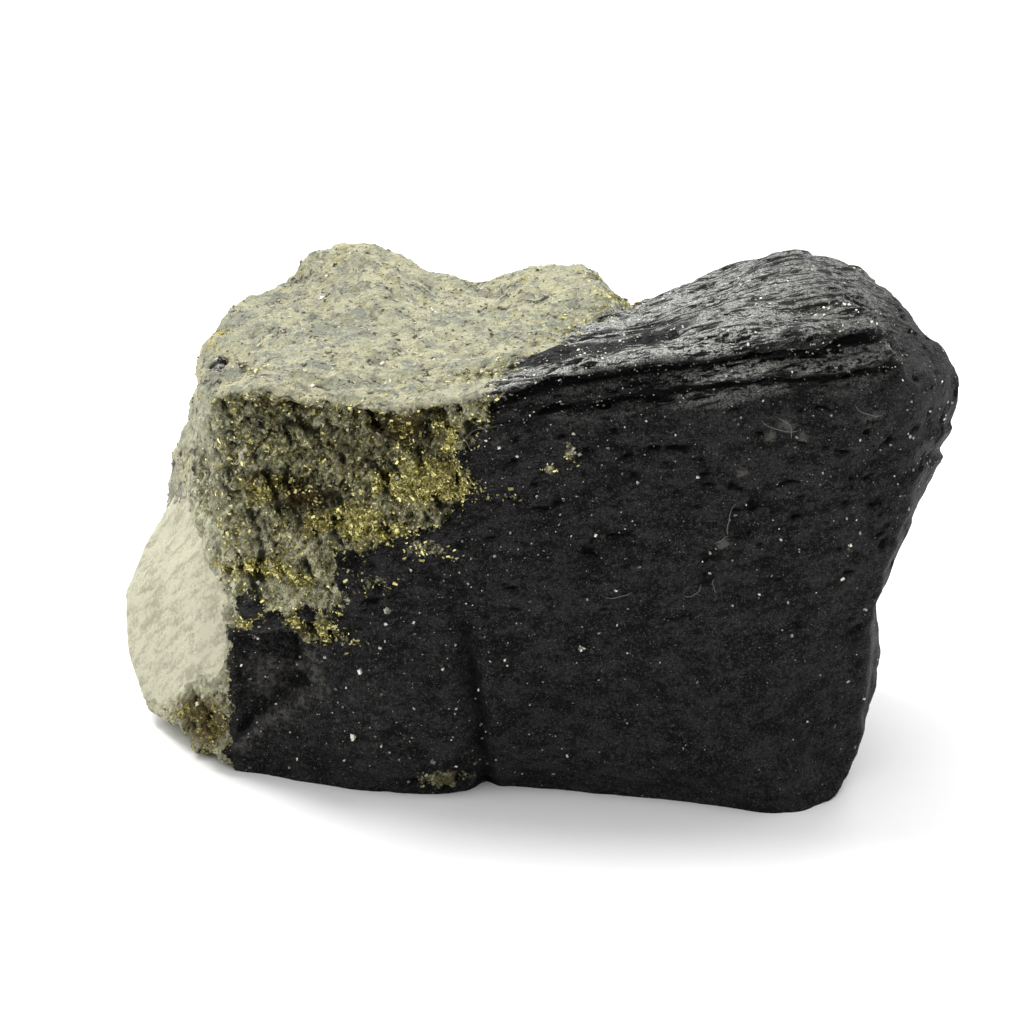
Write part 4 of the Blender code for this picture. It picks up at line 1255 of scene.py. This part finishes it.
@dataclass(frozen=True)
class Lint:
    """Thin pale fibres that cling to the show side.

    Attributes:
        runs: (across, up) of the two ends of each fibre, and how far its middle bows to one side.
        radius: of a fibre, in millimetres.
    """

    runs: tuple[tuple[float, float, float, float, float], ...] = (
        (10.8, 21.8, 12.8, 21.2, 0.3), (11.6, 21.9, 12.4, 20.7, -0.3), (9.7, 17.3, 9.3, 15.6, 0.25),
        (9.3, 15.6, 8.6, 15.2, 0.1), (15.6, 22.3, 17.1, 21.4, 0.2), (-4.5, 21.2, -3.7, 19.9, 0.1),
        (-4.7, 20.2, -2.4, 21.3, -0.2), (7.0, 12.3, 7.9, 13.0, 0.3), (8.6, 13.3, 8.8, 12.5, 0.15),
        (3.0, 12.1, 4.4, 12.4, 0.15),
    )
    radius: float = 0.02
    colour: Colour = (0.16, 0.16, 0.15)

    def build(self, skin: StoneSkin) -> bpy.types.Object:
        """Carries a ring of six points along each fibre, which follows the skin and thins to closed ends.

        Args:
            skin: the built skin.

        Returns:
            The object.
        """
        steps, ring = 14, 6
        share = np.linspace(0.0, 1.0, steps)
        front = skin.points[(skin.normals[:, 1] < -0.3)]
        points, faces = [], []
        turns = np.arange(ring) * (2.0 * math.pi / ring)
        for x0, z0, x1, z1, bow in self.runs:
            side = np.array((z1 - z0, x0 - x1)) / math.hypot(x1 - x0, z1 - z0)
            bend = bow * 4.0 * share * (1.0 - share) + 0.04 * np.sin(9.0 * share)
            across = x0 + (x1 - x0) * share + bend * side[0]
            up = z0 + (z1 - z0) * share + bend * side[1]
            near = (front[:, 0][None] - across[:, None]) ** 2 + (front[:, 2][None] - up[:, None]) ** 2
            away = front[:, 1][near.argmin(axis=1)] - 0.04 - 0.1 * np.sin(math.pi * share)
            away = np.convolve(np.pad(away, 2, mode="edge"), np.full(5, 0.2), mode="valid")
            path = np.stack([across, away, up], axis=1)
            run = unit(np.gradient(path, axis=0))
            first = unit(np.cross(run, (0.0, 1.0, 0.0)))
            second = np.cross(run, first)
            thick = self.radius * np.sqrt(np.clip(1.0 - (2.0 * share - 1.0) ** 6, 0.0, 1.0))
            rings = path[:, None] + thick[:, None, None] * (
                np.cos(turns)[None, :, None] * first[:, None] + np.sin(turns)[None, :, None] * second[:, None]
            )
            start = len(points) * steps * ring
            along, about = np.meshgrid(np.arange(steps - 1), np.arange(ring), indexing="ij")
            low, after = along * ring, (about + 1) % ring
            quads = np.stack([low + about, low + after, low + ring + after, low + ring + about], axis=-1)
            points.append(rings.reshape(-1, 3))
            faces.append(quads.reshape(-1, 4) + start)
        piece = make_mesh("lint", np.concatenate(points), np.concatenate(faces), {}, smooth=True)
        close_ends(piece.data)
        w = Wiring("lint_finish")
        shade = w.mix(w.noise(0.2), self.colour, tuple(0.6 * value for value in self.colour))
        piece.data.materials.append(w.finish(Base_Color=shade, Roughness=0.6, Normal=w.bump(w.noise(0.05), 0.01)))
        return piece


def close_ends(mesh: bpy.types.Mesh) -> None:
    """Merges the points of each shut end into one and turns the faces outwards."""
    work = bmesh.new()
    work.from_mesh(mesh)
    bmesh.ops.remove_doubles(work, verts=work.verts, dist=1e-7)
    bmesh.ops.recalc_face_normals(work, faces=work.faces)
    work.to_mesh(mesh)
    work.free()


# ---------------------------------------------------------------------------------------------------------------
# Studio
# ---------------------------------------------------------------------------------------------------------------


@dataclass
class Studio:
    """A plain pale floor, soft daylight from above and behind, and the camera.

    Attributes:
        look_at: the middle of the view, in the drawing's place.
        elevation: of the camera over the floor, in degrees.
        distance: from the camera to the middle of the view, in millimetres.
        lens: in millimetres, on a sensor 36 mm wide.
    """

    look_at: Corner = (-1.78, 0.0, 12.0)
    elevation: float = 25.0
    distance: float = 207.4
    lens: float = 135.0
    floor_reach: float = 4.0
    sky: tuple[float, float, float, float] = (0.11, 1.05, 1.45, 0.30)
    key: tuple[Corner, float, float] = ((-0.38, 0.28, 0.88), 1.7, 16.0)
    rim: tuple[Corner, float, float] = ((0.25, 0.86, 0.45), 0.6, 25.0)

    def floor(self) -> bpy.types.Object:
        """A round sheet whose rings lie closer near the middle."""
        rings = (np.linspace(0.0, 1.0, 24) ** 2)[1:, None] * self.floor_reach
        turns = np.linspace(0.0, 2.0 * math.pi, 96, endpoint=False)[None]
        points = np.stack([rings * np.cos(turns), rings * np.sin(turns), np.zeros((23, 96))], axis=-1).reshape(-1, 3)
        points = np.vstack([points, (0.0, 0.0, 0.0)])
        inner = np.arange(96)
        after = (inner + 1) % 96
        faces = [(int(a), int(b), len(points) - 1) for a, b in zip(inner, after)]
        for ring in range(22):
            low, high = ring * 96, (ring + 1) * 96
            faces += [(low + int(a), high + int(a), high + int(b), low + int(b)) for a, b in zip(inner, after)]
        mesh = bpy.data.meshes.new("floor")
        mesh.from_pydata(points.tolist(), [], faces)
        w = Wiring("pale_paper")
        shade = w.mix(w.noise(3.0, 4.0), (0.90, 0.90, 0.91), (0.93, 0.93, 0.93))
        mesh.materials.append(w.finish(Base_Color=shade, Roughness=0.8, Normal=w.bump(w.noise(0.5), 0.01)))
        floor = bpy.data.objects.new("floor", mesh)
        bpy.context.scene.collection.objects.link(floor)
        return floor

    def light(self, name: str, towards: Corner, strength: float, width: float) -> None:
        """A far soft light: where it stands as a direction, its strength, and its width in degrees."""
        lamp = bpy.data.lights.new(name, "SUN")
        lamp.energy = strength
        lamp.angle = math.radians(width)
        stand = bpy.data.objects.new(name, lamp)
        stand.rotation_mode = "QUATERNION"
        stand.rotation_quaternion = Vector(towards).to_track_quat("Z", "Y")
        stand.location = Vector(towards)
        bpy.context.scene.collection.objects.link(stand)

    def world(self) -> None:
        """A pale sky: an even glow, and more from above, from behind the stone and from its left.

        Each direction's height and its leans to the back and to the left go through smooth steps, and the
        strengths of the four glows are added up.
        """
        even, above, behind, left = self.sky
        sky = bpy.data.worlds.new("sky")
        sky.use_nodes = True
        w = Wiring.of_tree(sky.node_tree)
        direction = w.nodes.new("ShaderNodeTexCoord").outputs["Generated"]
        across, away, up = w.parts(direction)
        high = w.between(up, 0.1, 0.9)
        glow = w.sum(
            (high, above), (w.between(away, -0.1, 0.8), behind), (w.between(across, 0.0, -1.0), left)
        )
        background = w.nodes["Background"]
        background.inputs["Color"].default_value = (1.0, 1.0, 1.0, 1.0)
        w.put(background.inputs["Strength"], w.math("ADD", glow, even))
        bpy.context.scene.world = sky

    def camera(self) -> None:
        """The camera, looking along +Y and down."""
        tilt = math.radians(self.elevation)
        back = Vector((0.0, -math.cos(tilt), math.sin(tilt)))
        middle = Vector(self.look_at) - Vector(StoneForm().middle)
        lens = bpy.data.cameras.new("camera")
        lens.lens = self.lens
        lens.sensor_width = 36.0
        lens.clip_start = 0.01
        camera = bpy.data.objects.new("camera", lens)
        camera.location = (middle + back * self.distance) * MM
        camera.rotation_mode = "QUATERNION"
        camera.rotation_quaternion = (-back).to_track_quat("-Z", "Y")
        bpy.context.scene.collection.objects.link(camera)
        bpy.context.scene.camera = camera

    def build(self) -> None:
        """Sets the whole stage."""
        self.floor()
        self.world()
        self.light("key", *self.key)
        self.light("rim", *self.rim)
        self.camera()
        bpy.context.scene.view_settings.view_transform = "Standard"


def golden(shares: dict[str, Array], places: Array, normals: Array) -> Array:
    """Weight of the golden grains: the golden patches, and thinly over the rest of the hollow."""
    high = (1.0 - np.clip(shares["low"], 0.0, 1.0)) ** 2 * smooth_step((places[:, 2] + 1.0) / 9.0)
    inner = smooth_step((places[:, 0] + 18.2) / 1.5)
    return (shares["gold"] ** 2.4 + 0.02) * shares["hollow"] * (high * inner + 0.001)


def crusty(shares: dict[str, Array], places: Array, normals: Array) -> Array:
    """Weight of the pale grains: the crust, but not the facet."""
    return shares["crust"] * (1.0 - shares["facet"]) * (1.0 - 0.6 * shares["gold"])


def placed(shares: dict[str, Array], places: Array, normals: Array) -> Array:
    """Weight of the few larger crystals: tight bells about the listed places, on the show side and on the top."""
    weight = np.zeros(len(places))
    for x, z in SHOW_CRYSTALS:
        weight += (places[:, 1] < -5.0) * np.exp(-((places[:, 0] - x) ** 2 + (places[:, 2] - z) ** 2) / 0.006)
    for x, y in TOP_CRYSTALS:
        weight += (normals[:, 2] > 0.5) * np.exp(-((places[:, 0] - x) ** 2 + (places[:, 1] - y) ** 2) / 0.006)
    return weight + 1e-12


def dark_rock(shares: dict[str, Array], places: Array, normals: Array) -> Array:
    """Weight of the glints on the shale, thicker near the crust and on the ledges."""
    near_crust = np.exp(-np.maximum(places[:, 0] + 4.0, 0.0) / 5.0)
    high = smooth_step((places[:, 2] - 10.0) / 10.0)
    return (1.0 - shares["crust"]) * (0.15 + 0.5 * near_crust + 0.5 * high + 1.5 * shares["ledge"])


def main() -> None:
    """Builds the stone's pieces and the stage, and reports each."""
    logging.basicConfig(level=logging.INFO, format="%(name)s: %(message)s")
    Studio().build()
    skin = StoneSkin()
    pieces = [skin.build()]
    gold = PyriteFinish("gold_grain", (0.080, 0.065, 0.009), (1.0, 0.92, 0.38), 0.6, 0.22)
    pale = PyriteFinish("pale_grain", (0.10, 0.09, 0.05), (0.56, 0.54, 0.40), 0.15, 0.40)
    glint = PyriteFinish("glint", (0.03, 0.03, 0.025), (0.90, 0.88, 0.76), 0.4, 0.25)
    fields = (
        Grains("gold_grains", 16400, 0.031, 0.50, (1.5, 0.75, 0.6), 0.1, 0.6, 1, gold, golden),
        Grains("pale_grains", 9000, 0.034, 0.50, (1.4, 0.9, 0.5), 0.0, 0.40, 2, pale, crusty),
        Grains("crystals", 135, 0.055, 0.35, (1.1, 0.9, 0.7), 0.1, 0.5, 4, glint, placed),
        Grains("glints", 5000, 0.018, 0.60, (1.3, 0.9, 0.7), 0.2, 0.5, 3, glint, dark_rock),
    )
    pieces += [grains.build(skin) for grains in fields]
    pieces.append(Lint().build(skin))
    for piece in pieces:
        piece.data.calc_loop_triangles()
        LOG.info("%s: %d triangles", piece.name, len(piece.data.loop_triangles))


if __name__ == "__main__":
    main()
